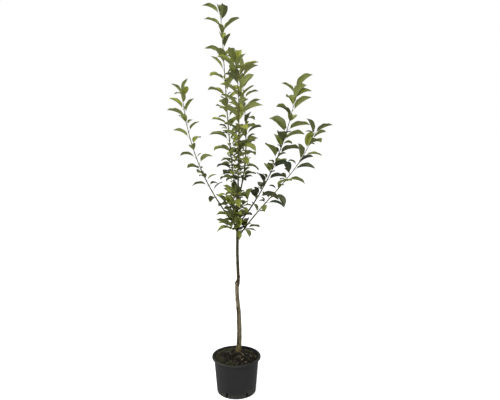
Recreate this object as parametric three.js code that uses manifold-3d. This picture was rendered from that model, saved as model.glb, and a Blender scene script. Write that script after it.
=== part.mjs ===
// A young sour cherry tree in a round nursery pot, in millimetres, +Z up.
// The origin is the middle of the pot's flat underside, the wide side of the crown runs along X,
// and the tree is seen from the front along +Y.

import * as THREE from "three";
import Module from "manifold-3d";
import { mergeVertices } from "three/addons/utils/BufferGeometryUtils.js";

const wasm = await Module();
wasm.setup();

const gap = 0.3; // between two pieces that touch
const degree = Math.PI / 180;
const up = new THREE.Vector3(0, 0, 1);

// The nursery pot, 7.5 litres
const pot = {
  height: 200,
  rimRadius: 131,
  rimDepth: 9,
  rimRound: 3,
  neckRadius: 120.5, // outside of the wall under the rim
  footRadius: 105, // outside of the wall above the rounded foot
  footRound: 6,
  wall: 2.5,
  slots: 6,
  slotWidth: 10,
  slotHeight: 31,
  slotDepth: 16,
  slotTurn: -57, // place of the first drain slot, from +X
  sides: 48,
};

// The potting soil, heaped up to the trunk
const soil = {
  edgeHeight: 195, // at the wall
  trunkHeight: 208, // at the trunk
  seatRadius: 21, // flat patch that the trunk stands on
  lump: 1.6,
  seed: 5,
  rings: 6,
  sides: 28,
};

// The trunk: the rootstock up to the graft, and the grafted stem from there to the fork
const rootstock = {
  path: [
    [11, 38, soil.trunkHeight + gap],
    [15, 37, 285],
    [13, 39, 410],
    [4.5, 38, 520],
    [1.5, 38, 614],
  ],
  radiusBelow: 13.3,
  radiusAbove: 9.5,
  flare: 3.2, // added at the ground
  flareHeight: 20,
  sides: 12,
  steps: 22,
};
const graft = { x: -8, height: 594, slope: 52 }; // left corner and slope of the old cut
const cutter = 100; // side of the cubes that cut the trunk
const stem = {
  path: [
    [6.5, 38, 572],
    [10.5, 37, 605],
    [8.7, 38, 665],
    [6, 39, 760],
    [7, 38, 860],
    [4.5, 38, 975],
    [12.5, 38, 1096],
  ],
  radiusBelow: 8.3,
  radiusAbove: 7.2,
  swelling: 1, // added at the graft
  swellingHeight: 26,
  sides: 10,
  steps: 26,
};

// The shoots: a Bezier curve from the trunk to the tip, the bare share of it, and how its leaves stand
const shoots = [
  {
    name: "left",
    curve: [[6, 38, 893], [-153, 26, 1092], [-247, 16, 1312], [-267, 10, 1578]],
    bare: 0.25, size: 0.84, spacing: 1.1, seed: 1226,
  },
  {
    name: "right_high",
    curve: [[6, 38, 905], [169, 77, 1096], [262, 110, 1325], [316, 128, 1596]],
    bare: 0.2, size: 1.02, spacing: 1.05, seed: 683,
  },
  {
    name: "right_low",
    curve: [[6.5, 38, 832], [122, -12, 1033], [319, -54, 1176], [386, -80, 1386]],
    bare: 0.26, size: 0.9, spacing: 1.2, seed: 426, endLeaf: { insertion: 56, droop: 40 },
  },
  {
    name: "leader",
    curve: [[7, 38, 1035], [-44, 27, 1330], [-49, 18, 1670], [-72, 12, 1963]],
    bare: 0.1, size: 1, spacing: 1.12, seed: 1345, endLeaf: { insertion: 48, droop: 45 },
  },
  {
    name: "front",
    curve: [[12, 38, 1088], [10, -83, 1279], [33, -187, 1499], [11, -250, 1693]],
    bare: 0.12, size: 0.98, spacing: 1, seed: 126,
  },
  {
    name: "back",
    curve: [[9, 38, 1040], [82, 144, 1263], [42, 235, 1481], [29, 290, 1706]],
    bare: 0.13, size: 0.98, spacing: 1, seed: 1468,
  },
];
const shoot = {
  foot: 4.2, tip: 1.5, collar: 1.4, collarLength: 16, sides: 5, step: 45, end: 3,
  first: 8, endLeaf: { insertion: 74, droop: 26 },
};

// The short leafy sprays on the trunk inside the crown: height, length, bearing and lean from upright
const sprays = [
  { name: "low_left", height: 878, length: 60, bearing: 228, lean: 66, seed: 1231 },
  { name: "low_right", height: 862, length: 60, bearing: 35, lean: 68, seed: 531 },
  { name: "low_back", height: 905, length: 70, bearing: 95, lean: 60, seed: 964 },
  { name: "low_front", height: 930, length: 60, bearing: -115, lean: 58, seed: 1078 },
  { name: "middle_left", height: 965, length: 75, bearing: 150, lean: 56, seed: 925 },
  { name: "middle_right", height: 985, length: 75, bearing: -25, lean: 56, seed: 1354 },
  { name: "middle_back", height: 1010, length: 65, bearing: 95, lean: 50, seed: 110 },
  { name: "middle_front", height: 1035, length: 60, bearing: -100, lean: 50, seed: 984 },
];
const spray = {
  foot: 2.2, tip: 1.3, collar: 0.6, collarLength: 8, sides: 3, step: 25, end: 3,
  first: 16, size: 0.78, spacing: 0.55, endLeaf: { insertion: 74, droop: 26 },
};

// How finely centre lines are sampled
const samples = { shoot: 64, spray: 8, trunkMarks: 60 };

// A cherry leaf: an arched, folded blade on a thin stalk
const leaf = {
  blade: 102,
  halfWidth: 0.25, // of the blade's length
  thickness: 0.014, // of the blade's length, at the midrib
  outline: { base: 0.75, tip: 0.85, peak: 0.331 }, // how blunt the two ends are
  stalk: 17,
  shortStalk: 0.75, // share of the stalk that the smallest leaves have
  stalkRadius: 1,
  steps: 12, // along the midrib
  stations: [0.29, 0.7], // places along the blade where the solid has a section
  fullness: 1.07, // widens the sections, so that the straight edges between them keep the outline's area
};

// How leaves stand along a stem from its first leaf to its tip; angles are in degrees
const growth = {
  internode: 26,
  tipInternode: 17,
  tipShare: 0.2, // of the stem, over which the leaves draw closer
  turn: 137.5, // from one leaf to the next
  sizes: [0.84, 1, 0.93], // at the first leaf, at the fullest place and at the tip
  fullest: 0.6,
  insertion: [36, 56], // of the stalk above square to the stem
  droop: [60, 38], // bend of the blade from its base to its tip
  fold: [26, 38], // of each half above flat
  sweep: 24, // sideways bend of the blade, to either side
  roll: 32, // to either side
  steepest: 78,
  jitter: { turn: 26, size: 0.15, insertion: 12, droop: 18, fold: 8, step: 0.32 },
};

// How a leaf keeps its space: it is turned in steps until it is clear, or else it is left out
const spacing = {
  turns: [0, 30, -30, 60, -60, 90, -90, 120, -120, 150, -150],
  leafClear: 10.5, // between the marks of two leaves
  limbClear: 8, // between a leaf and a limb that isn't its own
  ownSide: 0.84, // its tip is nearer to its own stem than to this share of the way to any other limb
  ribMarks: [0.12, 0.32, 0.54, 0.76, 1],
  edgeMarks: [0.26, 0.48, 0.7],
};

// A number between 0 and 1 from a seed, the same on every run
function seeded(seed) {
  let state = seed >>> 0;
  return () => {
    state = (Math.imul(state, 1664525) + 1013904223) >>> 0;
    return state / 4294967296;
  };
}

const mix = (a, b, t) => a + (b - a) * t;
const vector = (p) => new THREE.Vector3(...p);
const least = (numbers) => numbers.reduce((a, b) => Math.min(a, b), Infinity);
const nearest = (point, others) => least(others.map((other) => point.distanceTo(other)));

function smoothstep(low, high, x) {
  const t = Math.min(1, Math.max(0, (x - low) / (high - low)));
  return t * t * (3 - 2 * t);
}

// A closed solid over rings of points that run counter-clockwise about the way ahead; one point is a tip.
// The two sides of a thin, twisted blade are parted along the same lines, so that they don't cross.
function skin(rings, blade = false) {
  const points = [];
  const faces = [];
  const starts = rings.map((ring) => points.push(...ring) - ring.length);
  for (let i = 0; i + 1 < rings.length; i++) {
    const a = rings[i].length;
    const b = rings[i + 1].length;
    for (let j = 0; j < a; j++) {
      const k = (j + 1) % a;
      const [low, lowNext] = [starts[i] + j, starts[i] + k];
      const [high, highNext] = [starts[i + 1] + (j % b), starts[i + 1] + (k % b)];
      if (b === 1) faces.push([low, lowNext, high]);
      else if (blade && j % 2 === 1) faces.push([low, lowNext, high], [lowNext, highNext, high]);
      else faces.push([low, lowNext, highNext], [low, highNext, high]);
    }
  }
  const last = starts[rings.length - 1];
  for (let j = 1; j + 1 < rings[0].length; j++) faces.push([0, j + 1, j]);
  for (let j = 1; j + 1 < rings.at(-1).length; j++) faces.push([last, last + j, last + j + 1]);
  return new wasm.Manifold(
    new wasm.Mesh({
      numProp: 3,
      vertProperties: new Float32Array(points.flatMap((p) => p.toArray())),
      triVerts: new Uint32Array(faces.flat()),
    }),
  );
}

function solidOf(geometry) {
  const bare = geometry.clone();
  bare.deleteAttribute("normal");
  bare.deleteAttribute("uv");
  const merged = mergeVertices(bare, 1e-3);
  return new wasm.Manifold(
    new wasm.Mesh({
      numProp: 3,
      vertProperties: merged.getAttribute("position").array,
      triVerts: new Uint32Array(merged.index.array),
    }),
  );
}

function geometryOf(solid) {
  const mesh = solid.getMesh();
  const geometry = new THREE.BufferGeometry();
  geometry.setAttribute("position", new THREE.BufferAttribute(mesh.vertProperties, 3));
  geometry.setIndex(new THREE.BufferAttribute(mesh.triVerts, 1));
  geometry.computeVertexNormals();
  return geometry;
}

// A limb's centre line: points, and the length up to each
function lineOf(curve, count = samples.shoot) {
  const points = curve.getPoints(count);
  const lengths = [0];
  for (let i = 1; i < points.length; i++) {
    lengths.push(lengths[i - 1] + points[i].distanceTo(points[i - 1]));
  }
  return { points, lengths, length: lengths.at(-1) };
}

// The point and the direction of a centre line at a distance from its foot
function along(line, distance) {
  let i = 1;
  while (i < line.points.length - 1 && line.lengths[i] < distance) i++;
  const a = line.points[i - 1];
  const b = line.points[i];
  const share = (distance - line.lengths[i - 1]) / (line.lengths[i] - line.lengths[i - 1]);
  return { point: a.clone().lerp(b, share), ahead: b.clone().sub(a).normalize() };
}

// A tapering limb from one distance to another along its centre line
function limb(line, from, to, radiusAt, sides, steps) {
  const chord = along(line, to).point.sub(along(line, from).point);
  const axes = [vector([1, 0, 0]), vector([0, 1, 0]), up];
  axes.sort((a, b) => Math.abs(chord.dot(a)) - Math.abs(chord.dot(b)));
  const rings = [];
  for (let i = 0; i <= steps; i++) {
    const distance = mix(from, to, i / steps);
    const { point, ahead } = along(line, distance);
    const across = new THREE.Vector3().crossVectors(axes[0], ahead).normalize();
    const other = new THREE.Vector3().crossVectors(ahead, across);
    const ring = [];
    for (let j = 0; j < sides; j++) {
      const angle = (2 * Math.PI * j) / sides;
      const radius = radiusAt(distance);
      ring.push(
        point.clone()
          .addScaledVector(across, radius * Math.cos(angle))
          .addScaledVector(other, radius * Math.sin(angle)),
      );
    }
    rings.push(ring);
  }
  return skin(rings);
}

// The radius of a shoot or spray: an even taper, thicker in a collar where it leaves the trunk
function taperOf(size, length) {
  return (distance) =>
    mix(size.foot, size.tip, distance / length) + size.collar * Math.exp(-distance / size.collarLength);
}

// The pot: a turned wall with a lip and a rounded foot, and drain slots through the foot
function makePot() {
  const { height, rimRadius, rimDepth, rimRound, neckRadius, footRadius, footRound, wall } = pot;
  const under = height - rimDepth;
  const outline = new THREE.Path();
  outline.moveTo(0, 0);
  outline.lineTo(footRadius - footRound, 0);
  outline.absarc(footRadius - footRound, footRound, footRound, -Math.PI / 2, 0, false);
  outline.lineTo(neckRadius, under);
  outline.lineTo(rimRadius - rimRound, under);
  outline.absarc(rimRadius - rimRound, under + rimRound, rimRound, -Math.PI / 2, 0, false);
  outline.absarc(rimRadius - rimRound, height - rimRound, rimRound, 0, Math.PI / 2, false);
  outline.lineTo(neckRadius - wall, height);
  outline.lineTo(footRadius - wall, footRound + wall);
  outline.lineTo(footRadius - footRound, wall);
  outline.lineTo(0, wall);
  const turned = new THREE.LatheGeometry(outline.getPoints(2), pot.sides);
  turned.rotateX(Math.PI / 2);
  let solid = solidOf(turned);
  for (let i = 0; i < pot.slots; i++) {
    const slot = new THREE.BoxGeometry(2 * pot.slotDepth, pot.slotWidth, 2 * pot.slotHeight);
    slot.translate(pot.footRadius, 0, 0);
    slot.rotateZ((pot.slotTurn + (360 / pot.slots) * i) * degree);
    solid = solid.subtract(solidOf(slot));
  }
  return solid;
}

// The soil: the pot's inside, with a heap round the trunk's flat seat
function makeSoil() {
  const random = seeded(soil.seed);
  const seat = vector(rootstock.path[0]);
  const wallRadius = (height) => {
    const share = (height - pot.footRound - pot.wall) / (pot.height - pot.footRound - pot.wall);
    return (mix(pot.footRadius, pot.neckRadius, share) - pot.wall) * Math.cos(Math.PI / pot.sides) - gap;
  };
  const bottom = pot.wall + gap;
  const circle = (x, y, radius, heightAt) => {
    const ring = [];
    for (let j = 0; j < soil.sides; j++) {
      const angle = (2 * Math.PI * j) / soil.sides;
      ring.push(vector([x + radius * Math.cos(angle), y + radius * Math.sin(angle), heightAt()]));
    }
    return ring;
  };
  const rings = [
    circle(0, 0, pot.footRadius - pot.footRound - 2 * gap, () => bottom),
    circle(0, 0, wallRadius(pot.footRound + pot.wall) - gap, () => pot.footRound + pot.wall + gap),
    circle(0, 0, wallRadius(soil.edgeHeight), () => soil.edgeHeight),
  ];
  for (let i = 1; i <= soil.rings; i++) {
    const share = i / soil.rings;
    const height = mix(soil.edgeHeight, soil.trunkHeight, smoothstep(0, 1, share));
    const lump = i < soil.rings ? soil.lump : 0;
    rings.push(
      circle(
        seat.x * share,
        seat.y * share,
        mix(wallRadius(soil.edgeHeight), soil.seatRadius, share),
        () => height + lump * (2 * random() - 1),
      ),
    );
  }
  return skin(rings);
}

// The trunk: rootstock with its root flare and slanting old cut, and the stem that was grafted to its side
function makeTrunk(extra = 0) {
  const stockLine = lineOf(new THREE.CatmullRomCurve3(rootstock.path.map(vector)));
  const stockRadius = (distance) =>
    mix(rootstock.radiusBelow, rootstock.radiusAbove, distance / stockLine.length) +
    rootstock.flare * Math.exp(-distance / rootstock.flareHeight) +
    extra;
  const [footX, footY, footZ] = rootstock.path[0];
  const foot = new THREE.BoxGeometry(cutter, cutter, cutter);
  foot.translate(footX, footY, footZ - cutter / 2);
  const cut = new THREE.BoxGeometry(cutter, cutter, cutter);
  cut.translate(0, 0, cutter / 2 + extra);
  cut.rotateY(-graft.slope * degree);
  cut.translate(graft.x, footY, graft.height);
  const stock = limb(stockLine, 0, stockLine.length, stockRadius, rootstock.sides, rootstock.steps)
    .subtract(solidOf(foot))
    .subtract(solidOf(cut));

  const stemLine = lineOf(new THREE.CatmullRomCurve3(stem.path.map(vector)));
  const stemRadius = (distance) =>
    mix(stem.radiusBelow, stem.radiusAbove, distance / stemLine.length) +
    stem.swelling * Math.exp(-(((distance - stem.swellingHeight) / stem.swellingHeight) ** 2)) +
    extra;
  return stock.add(limb(stemLine, 0, stemLine.length + extra, stemRadius, stem.sides, stem.steps));
}

// The direction at an angle above level, on a compass bearing
function heading(bearing, elevation) {
  return vector([
    Math.cos(elevation) * Math.cos(bearing),
    Math.cos(elevation) * Math.sin(bearing),
    Math.sin(elevation),
  ]);
}

// The midrib of a leaf's blade: points at equal shares of its length, and the way ahead at each
function midribOf(shape) {
  const { bearing, elevation, sweep, droop } = shape;
  const wayAt = (share) => heading(bearing + sweep * share, elevation - droop * share);
  const points = [shape.base.clone()];
  const ways = [wayAt(0)];
  for (let i = 1; i <= leaf.steps; i++) {
    const step = wayAt((i - 0.5) / leaf.steps);
    points.push(points[i - 1].clone().addScaledVector(step, shape.length / leaf.steps));
    ways.push(wayAt(i / leaf.steps));
  }
  return { points, ways };
}

// The midrib's point at a share of the blade, with the leaf's own right and its own up there
function bladeFrame(shape, midrib, share) {
  const place = share * (midrib.points.length - 1);
  const i = Math.min(midrib.points.length - 2, Math.floor(place));
  const point = midrib.points[i].clone().lerp(midrib.points[i + 1], place - i);
  const ahead = midrib.ways[i].clone().lerp(midrib.ways[i + 1], place - i).normalize();
  const level = vector([Math.sin(shape.bearing), -Math.cos(shape.bearing), 0]);
  const right = level.addScaledVector(ahead, -level.dot(ahead)).normalize();
  right.applyAxisAngle(ahead, shape.roll);
  const above = new THREE.Vector3().crossVectors(right, ahead);
  return { point, ahead, right, above };
}

// The blade's outline: the share of its half width at a share of its length
function outlineAt(share) {
  const { base, tip, peak } = leaf.outline;
  return (share ** base * (1 - share) ** tip) / peak;
}

// Marks that stand for a leaf when leaves and limbs are kept apart: on the midrib, then on the edges
function leafMarks(shape) {
  const midrib = midribOf(shape);
  const marks = spacing.ribMarks.map((share) => bladeFrame(shape, midrib, share).point);
  for (const share of spacing.edgeMarks) {
    const { point, right, above } = bladeFrame(shape, midrib, share);
    const half = shape.halfWidth * outlineAt(share);
    for (const side of [-1, 1]) {
      marks.push(
        point.clone()
          .addScaledVector(right, side * half * Math.cos(shape.fold))
          .addScaledVector(above, half * Math.sin(shape.fold)),
      );
    }
  }
  return marks;
}

// One leaf, from the stalk's foot to the tip: rings of right edge, underside, left edge and upper side
function leafSolid(shape) {
  const midrib = midribOf(shape);
  const ringAt = (frame, half, thick, fold) => {
    const edge = (side) =>
      frame.point.clone()
        .addScaledVector(frame.right, side * half * Math.cos(fold))
        .addScaledVector(frame.above, half * Math.sin(fold));
    return [
      edge(1),
      frame.point.clone().addScaledVector(frame.above, -thick / 2),
      edge(-1),
      frame.point.clone().addScaledVector(frame.above, thick / 2),
    ];
  };
  const base = bladeFrame(shape, midrib, 0);
  const foot = { ...base, point: shape.foot };
  const stalkThick = 2 * leaf.stalkRadius;
  const rings = [
    ringAt(foot, leaf.stalkRadius, stalkThick, 0),
    ringAt(base, leaf.stalkRadius, stalkThick, 0),
  ];
  for (const share of leaf.stations) {
    const frame = bladeFrame(shape, midrib, share);
    const half = shape.halfWidth * outlineAt(share) * leaf.fullness;
    rings.push(ringAt(frame, half, leaf.thickness * shape.length, shape.fold));
  }
  rings.push([bladeFrame(shape, midrib, 1).point]);
  return skin(rings, true);
}

// How large a leaf is at a share of its stem's leafy length
function sizeAt(share) {
  const [first, middle, last] = growth.sizes;
  const full = growth.fullest;
  return share < full ? mix(first, middle, share / full) : mix(middle, last, (share - full) / (1 - full));
}

// The leaves of one stem by the growth rule, from its first leaf to the one at its end
function growLeaves(grower, start, limbs, placed) {
  const random = seeded(grower.seed);
  const { line, radiusAt } = grower;
  const { jitter } = growth;
  const own = limbs.get(grower.name);
  const others = [...limbs].filter(([name]) => name !== grower.name).flatMap(([, points]) => points);
  const tipMark = spacing.ribMarks.length - 1;
  const length = line.length - start;
  const leaves = [];
  const firstTurn = 360 * random();
  let travelled = grower.first;
  let atEnd = false;
  for (let i = 0; !atEnd; i++) {
    atEnd = travelled > length;
    if (atEnd) travelled = length;
    const share = travelled / length;
    const [turn, bulk, rise, bend, tilt, veer, step] = Array.from({ length: 7 }, () => 2 * random() - 1);
    const size = sizeAt(share);
    const blade = leaf.blade * size * grower.size * (1 + jitter.size * bulk);
    const raised = mix(...growth.insertion, share) + jitter.insertion * rise;
    const insertion = atEnd ? grower.endLeaf.insertion : raised;
    const droop = (atEnd ? grower.endLeaf.droop : mix(...growth.droop, share)) + jitter.droop * bend;
    const { point, ahead } = along(line, start + travelled);
    for (const extra of spacing.turns) {
      const level = heading((firstTurn + growth.turn * i + jitter.turn * turn + extra) * degree, 0);
      const out = level.addScaledVector(ahead, -level.dot(ahead)).normalize();
      const way = out.multiplyScalar(Math.cos(insertion * degree))
        .addScaledVector(ahead, Math.sin(insertion * degree));
      const bearing = Math.atan2(way.y, way.x);
      const elevation = Math.min(growth.steepest * degree, Math.asin(way.z));
      const reach = leaf.stalk * mix(leaf.shortStalk, 1, size) + radiusAt(start + travelled);
      const shape = {
        foot: point,
        base: point.clone().addScaledVector(heading(bearing, elevation), reach),
        bearing,
        elevation,
        length: blade,
        halfWidth: blade * leaf.halfWidth,
        droop: droop * degree,
        sweep: growth.sweep * veer * degree,
        roll: growth.roll * tilt * degree,
        fold: (mix(...growth.fold, share) + jitter.fold * bulk) * degree,
      };
      const marks = leafMarks(shape);
      const offLimbs = marks.map((mark) => nearest(mark, others));
      if (least(offLimbs) <= spacing.limbClear) continue;
      if (nearest(marks[tipMark], own) >= offLimbs[tipMark] / spacing.ownSide) continue;
      if (marks.some((mark) => nearest(mark, placed) <= spacing.leafClear)) continue;
      placed.push(...marks);
      leaves.push(shape);
      break;
    }
    const offTip = Math.min(1, (1 - share) / growth.tipShare);
    const pace = mix(growth.tipInternode, growth.internode, offTip);
    travelled += pace * grower.spacing * (1 + jitter.step * step);
  }
  return leaves;
}

const bark = new THREE.MeshStandardMaterial({ color: 0x6f6650, roughness: 0.85, metalness: 0 });
const shootBark = new THREE.MeshStandardMaterial({ color: 0x5a4f3c, roughness: 0.75, metalness: 0 });
const plastic = new THREE.MeshStandardMaterial({ color: 0x353637, roughness: 0.5, metalness: 0 });
const earth = new THREE.MeshStandardMaterial({ color: 0x2f281e, roughness: 0.97, metalness: 0 });
const foliage = new THREE.MeshStandardMaterial({ color: 0x63752f, roughness: 0.6, metalness: 0 });

const tree = new THREE.Group();

function addPiece(name, solid, material) {
  const mesh = new THREE.Mesh(geometryOf(solid), material);
  mesh.name = name;
  tree.add(mesh);
}

addPiece("pot", makePot(), plastic);
addPiece("soil", makeSoil(), earth);
addPiece("trunk", makeTrunk(), bark);

// The grafted stem's axis at a height
function stemAxisAt(height) {
  const above = stem.path.findIndex(([, , z]) => z >= height);
  const high = vector(stem.path[Math.max(1, above)]);
  const low = vector(stem.path[Math.max(1, above) - 1]);
  return low.lerp(high, (height - low.z) / (high.z - low.z));
}

// What grows from the trunk: every centre line comes before the leaves, which keep clear of all of them
function shootGrower(own) {
  const line = lineOf(new THREE.CubicBezierCurve3(...own.curve.map(vector)));
  return { ...shoot, ...own, line, radiusAt: taperOf(shoot, line.length) };
}

function sprayGrower(own) {
  const foot = stemAxisAt(own.height);
  const way = heading(own.bearing * degree, (90 - own.lean) * degree);
  const tip = foot.clone().addScaledVector(way, own.length);
  const line = lineOf(new THREE.LineCurve3(foot, tip), samples.spray);
  return { ...spray, ...own, line, radiusAt: taperOf(spray, line.length) };
}

// Marks up the grafted stem's axis
function trunkMarks() {
  const low = stem.path[0][2];
  const high = stem.path.at(-1)[2];
  const last = samples.trunkMarks - 1;
  return Array.from({ length: last + 1 }, (_, i) => stemAxisAt(mix(low, high, i / last)));
}

// The leafy part of a shoot or spray: its stem and its leaves as one solid
function leafyPart(grower, start, limbs, placed) {
  const { line, radiusAt, sides, step, end } = grower;
  const steps = Math.round((line.length - start) / step);
  const twig = limb(line, start, line.length + end, radiusAt, sides, steps);
  const leaves = growLeaves(grower, start, limbs, placed).map(leafSolid);
  return wasm.Manifold.union([twig, ...leaves]);
}

const shootGrowers = shoots.map(shootGrower);
const sprayGrowers = sprays.map(sprayGrower);
const limbs = new Map([["trunk", trunkMarks()]]);
for (const { name, line } of [...shootGrowers, ...sprayGrowers]) limbs.set(name, line.points);
const placed = [];

// The trunk, fattened by the gap, is cut out of what grows from it
const socket = makeTrunk(gap);

for (const grower of shootGrowers) {
  const { name, line, radiusAt, sides, step } = grower;
  const bareLength = grower.bare * line.length;
  const bough = limb(line, 0, bareLength, radiusAt, sides, Math.round(bareLength / step));
  addPiece("bough_" + name, bough.subtract(socket), shootBark);
  addPiece("foliage_" + name, leafyPart(grower, bareLength + gap, limbs, placed), foliage);
}

for (const grower of sprayGrowers) {
  addPiece("spray_" + grower.name, leafyPart(grower, 0, limbs, placed).subtract(socket), foliage);
}

export default tree;
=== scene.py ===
import math

import bmesh
import bpy
import numpy as np
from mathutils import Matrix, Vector, noise


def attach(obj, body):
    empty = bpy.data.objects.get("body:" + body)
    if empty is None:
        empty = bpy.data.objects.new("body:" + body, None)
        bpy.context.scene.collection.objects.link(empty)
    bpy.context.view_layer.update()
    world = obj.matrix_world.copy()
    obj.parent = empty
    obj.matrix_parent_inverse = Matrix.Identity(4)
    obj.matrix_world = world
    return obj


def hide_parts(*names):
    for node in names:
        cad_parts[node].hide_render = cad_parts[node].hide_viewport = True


# A young sour cherry tree in a round nursery pot. Sizes are in millimetres and turn into metres
# where a mesh is made. +Z is up, and the front view looks along +Y.
mm = 0.001
degree = math.pi / 180

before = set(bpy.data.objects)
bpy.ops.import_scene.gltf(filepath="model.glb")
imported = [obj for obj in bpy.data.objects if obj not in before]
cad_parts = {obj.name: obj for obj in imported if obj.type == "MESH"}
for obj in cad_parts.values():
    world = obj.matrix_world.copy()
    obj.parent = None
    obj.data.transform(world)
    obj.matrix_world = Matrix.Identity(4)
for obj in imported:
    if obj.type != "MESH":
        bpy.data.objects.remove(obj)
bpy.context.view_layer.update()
print("frame loaded:", len(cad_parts), "nodes")


def mix(a, b, t):
    return a + (b - a) * t


def smoothstep(low, high, x):
    t = np.clip((x - low) / (high - low), 0, 1)
    return t * t * (3 - 2 * t)


def seeded(seed):
    # draws numbers between 0 and 1, the same on every run and in the part's source
    factor, step, period = 1664525, 1013904223, 4294967296
    state = seed

    def draw():
        nonlocal state
        state = (state * factor + step) % period
        return state / period

    return draw


def byChance(random, least, more):
    # at least so much, and more by chance
    return least + more * random()


def unit(v):
    return v / np.linalg.norm(v, axis=-1, keepdims=True)


# Meshes: a heap gathers the points and faces of many shapes, and one piece is made of it
class Heap:
    def __init__(self):
        self.points = []
        self.faces = []
        self.tones = []
        self.count = 0

    def add(self, points, faces, tones=0):
        # a face has four corners; a triangle has -1 in place of its fourth
        faces = np.asarray(faces)
        self.points.append(np.asarray(points, float))
        self.faces.append(np.where(faces < 0, -1, faces + self.count))
        self.tones.append(np.broadcast_to(tones, len(faces)))
        self.count += len(points)


def meshPiece(name, heap, materials, smooth=True):
    points = np.concatenate(heap.points) * mm
    faces = [tuple(f) if f[3] >= 0 else tuple(f[:3]) for f in np.concatenate(heap.faces).tolist()]
    mesh = bpy.data.meshes.new(name)
    mesh.from_pydata(points.tolist(), [], faces)
    for material in materials:
        mesh.materials.append(material)
    mesh.polygons.foreach_set("material_index", np.concatenate(heap.tones).astype(np.int32))
    mesh.polygons.foreach_set("use_smooth", np.full(len(mesh.polygons), smooth))
    mesh.update()
    piece = bpy.data.objects.new(name, mesh)
    bpy.context.scene.collection.objects.link(piece)
    return piece


def place(piece, slot, *nodes):
    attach(piece, "root")
    if nodes:
        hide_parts(*nodes)
    triangles = sum(len(p.vertices) - 2 for p in piece.data.polygons)
    print("  piece", piece.name, triangles, "triangles")


def bakeModifiers(piece):
    # the modifiers' result becomes the mesh itself
    bpy.context.view_layer.update()
    done = bpy.data.meshes.new_from_object(piece.evaluated_get(bpy.context.evaluated_depsgraph_get()))
    piece.modifiers.clear()
    piece.data = done


def cutOut(piece, cutter):
    cut = piece.modifiers.new("cut", "BOOLEAN")
    cut.operation = "DIFFERENCE"
    cut.solver = "EXACT"
    cut.object = cutter
    bakeModifiers(piece)
    bpy.data.objects.remove(cutter)


def gridFaces(rows, columns):
    # quads between rings that run counter-clockwise about the way ahead
    i, j = np.meshgrid(np.arange(rows - 1), np.arange(columns), indexing="ij")
    k = (j + 1) % columns
    corners = [i * columns + j, i * columns + k, (i + 1) * columns + k, (i + 1) * columns + j]
    return np.stack(corners, -1).reshape(-1, 4)


def poleFaces(pole, first, columns, ahead):
    j = np.arange(columns)
    k = (j + 1) % columns
    ring = [first + j, first + k] if ahead else [first + k, first + j]
    return np.stack([np.full(columns, pole), *ring, np.full(columns, -1)], -1)


def closedFaces(rows, columns):
    # rings closed at both ends by two points that come after them
    count = rows * columns
    ends = [poleFaces(count, 0, columns, False), poleFaces(count + 1, count - columns, columns, True)]
    return np.concatenate([gridFaces(rows, columns), *ends])


def turnsOf(count):
    return 2 * np.pi * np.arange(count) / count


def ringFrames(points):
    # at each point of a line: the way ahead and two directions across, carried along without twist
    ways = unit(np.gradient(points, axis=0))
    across = np.zeros_like(points)
    side = np.eye(3)[np.argmin(np.abs(ways[0]))]
    for i, way in enumerate(ways):
        side = unit(side - way * (side @ way))
        across[i] = side
    return across, np.cross(ways, across)


def tube(points, radii, sides):
    # a closed limb over a line, with a point in the middle of each end
    points = np.asarray(points, float)
    across, other = ringFrames(points)
    angle = turnsOf(sides)
    radii = np.broadcast_to(np.asarray(radii, float).reshape(len(points), -1), (len(points), sides))
    rings = (
        points[:, None]
        + across[:, None] * (radii * np.cos(angle))[..., None]
        + other[:, None] * (radii * np.sin(angle))[..., None]
    )
    return np.concatenate([rings.reshape(-1, 3), points[:1], points[-1:]]), closedFaces(len(points), sides)


def lathe(profile, segments):
    # a turned solid; the profile of (radius, height) runs from one point on the axis to another
    profile = np.asarray(profile, float)
    angle = turnsOf(segments)
    body = profile[1:-1]
    rings = np.empty((len(body), segments, 3))
    rings[..., 0] = body[:, :1] * np.cos(angle)
    rings[..., 1] = body[:, :1] * np.sin(angle)
    rings[..., 2] = body[:, 1:]
    ends = [[0, 0, profile[0, 1]], [0, 0, profile[-1, 1]]]
    return np.concatenate([rings.reshape(-1, 3), ends]), closedFaces(len(body), segments)


def arc(x, z, radius, start, end, steps):
    # points of a rounded corner in a profile, in degrees from the outward level
    angles = np.linspace(start, end, steps + 1) * degree
    return [(x + radius * math.cos(a), z + radius * math.sin(a)) for a in angles]


def noiseOf(points, size, stretch=1.0):
    # smooth noise of about -1 to 1 with bumps of a size, drawn out along Z
    scaled = np.asarray(points) / (np.array([size, size, size * stretch]))
    return np.array([noise.noise(Vector(p)) for p in scaled.tolist()])


# Shader nodes
def node(tree, kind, links=None, **settings):
    # a shader node with its settings, and its inputs linked or set by name or number
    made = tree.nodes.new("ShaderNode" + kind)
    for key, value in settings.items():
        setattr(made, key, value)
    for key, value in (links or {}).items():
        if isinstance(value, bpy.types.NodeSocket):
            tree.links.new(value, made.inputs[key])
        else:
            made.inputs[key].default_value = value
    return made


def maths(tree, operation, a, b):
    return node(tree, "Math", {0: a, 1: b}, operation=operation).outputs[0]


def vectorMaths(tree, operation, a, b, output=0):
    return node(tree, "VectorMath", {0: a, 1: b}, operation=operation).outputs[output]


def ramp(tree, value, low, high, least=0.0, **settings):
    # climbs from the least value at low to 1 at high
    return node(tree, "MapRange", {0: value, 1: low, 2: high, 3: least}, **settings).outputs[0]


def cloud(tree, spot, scale, detail, roughness=0.5):
    inputs = {"Vector": spot, "Scale": scale, "Detail": detail, "Roughness": roughness}
    return node(tree, "TexNoise", inputs).outputs["Fac"]


def blended(tree, share, first, second, **settings):
    return node(tree, "Mix", {"Factor": share, 6: first, 7: second}, data_type="RGBA", **settings).outputs[2]


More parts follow.
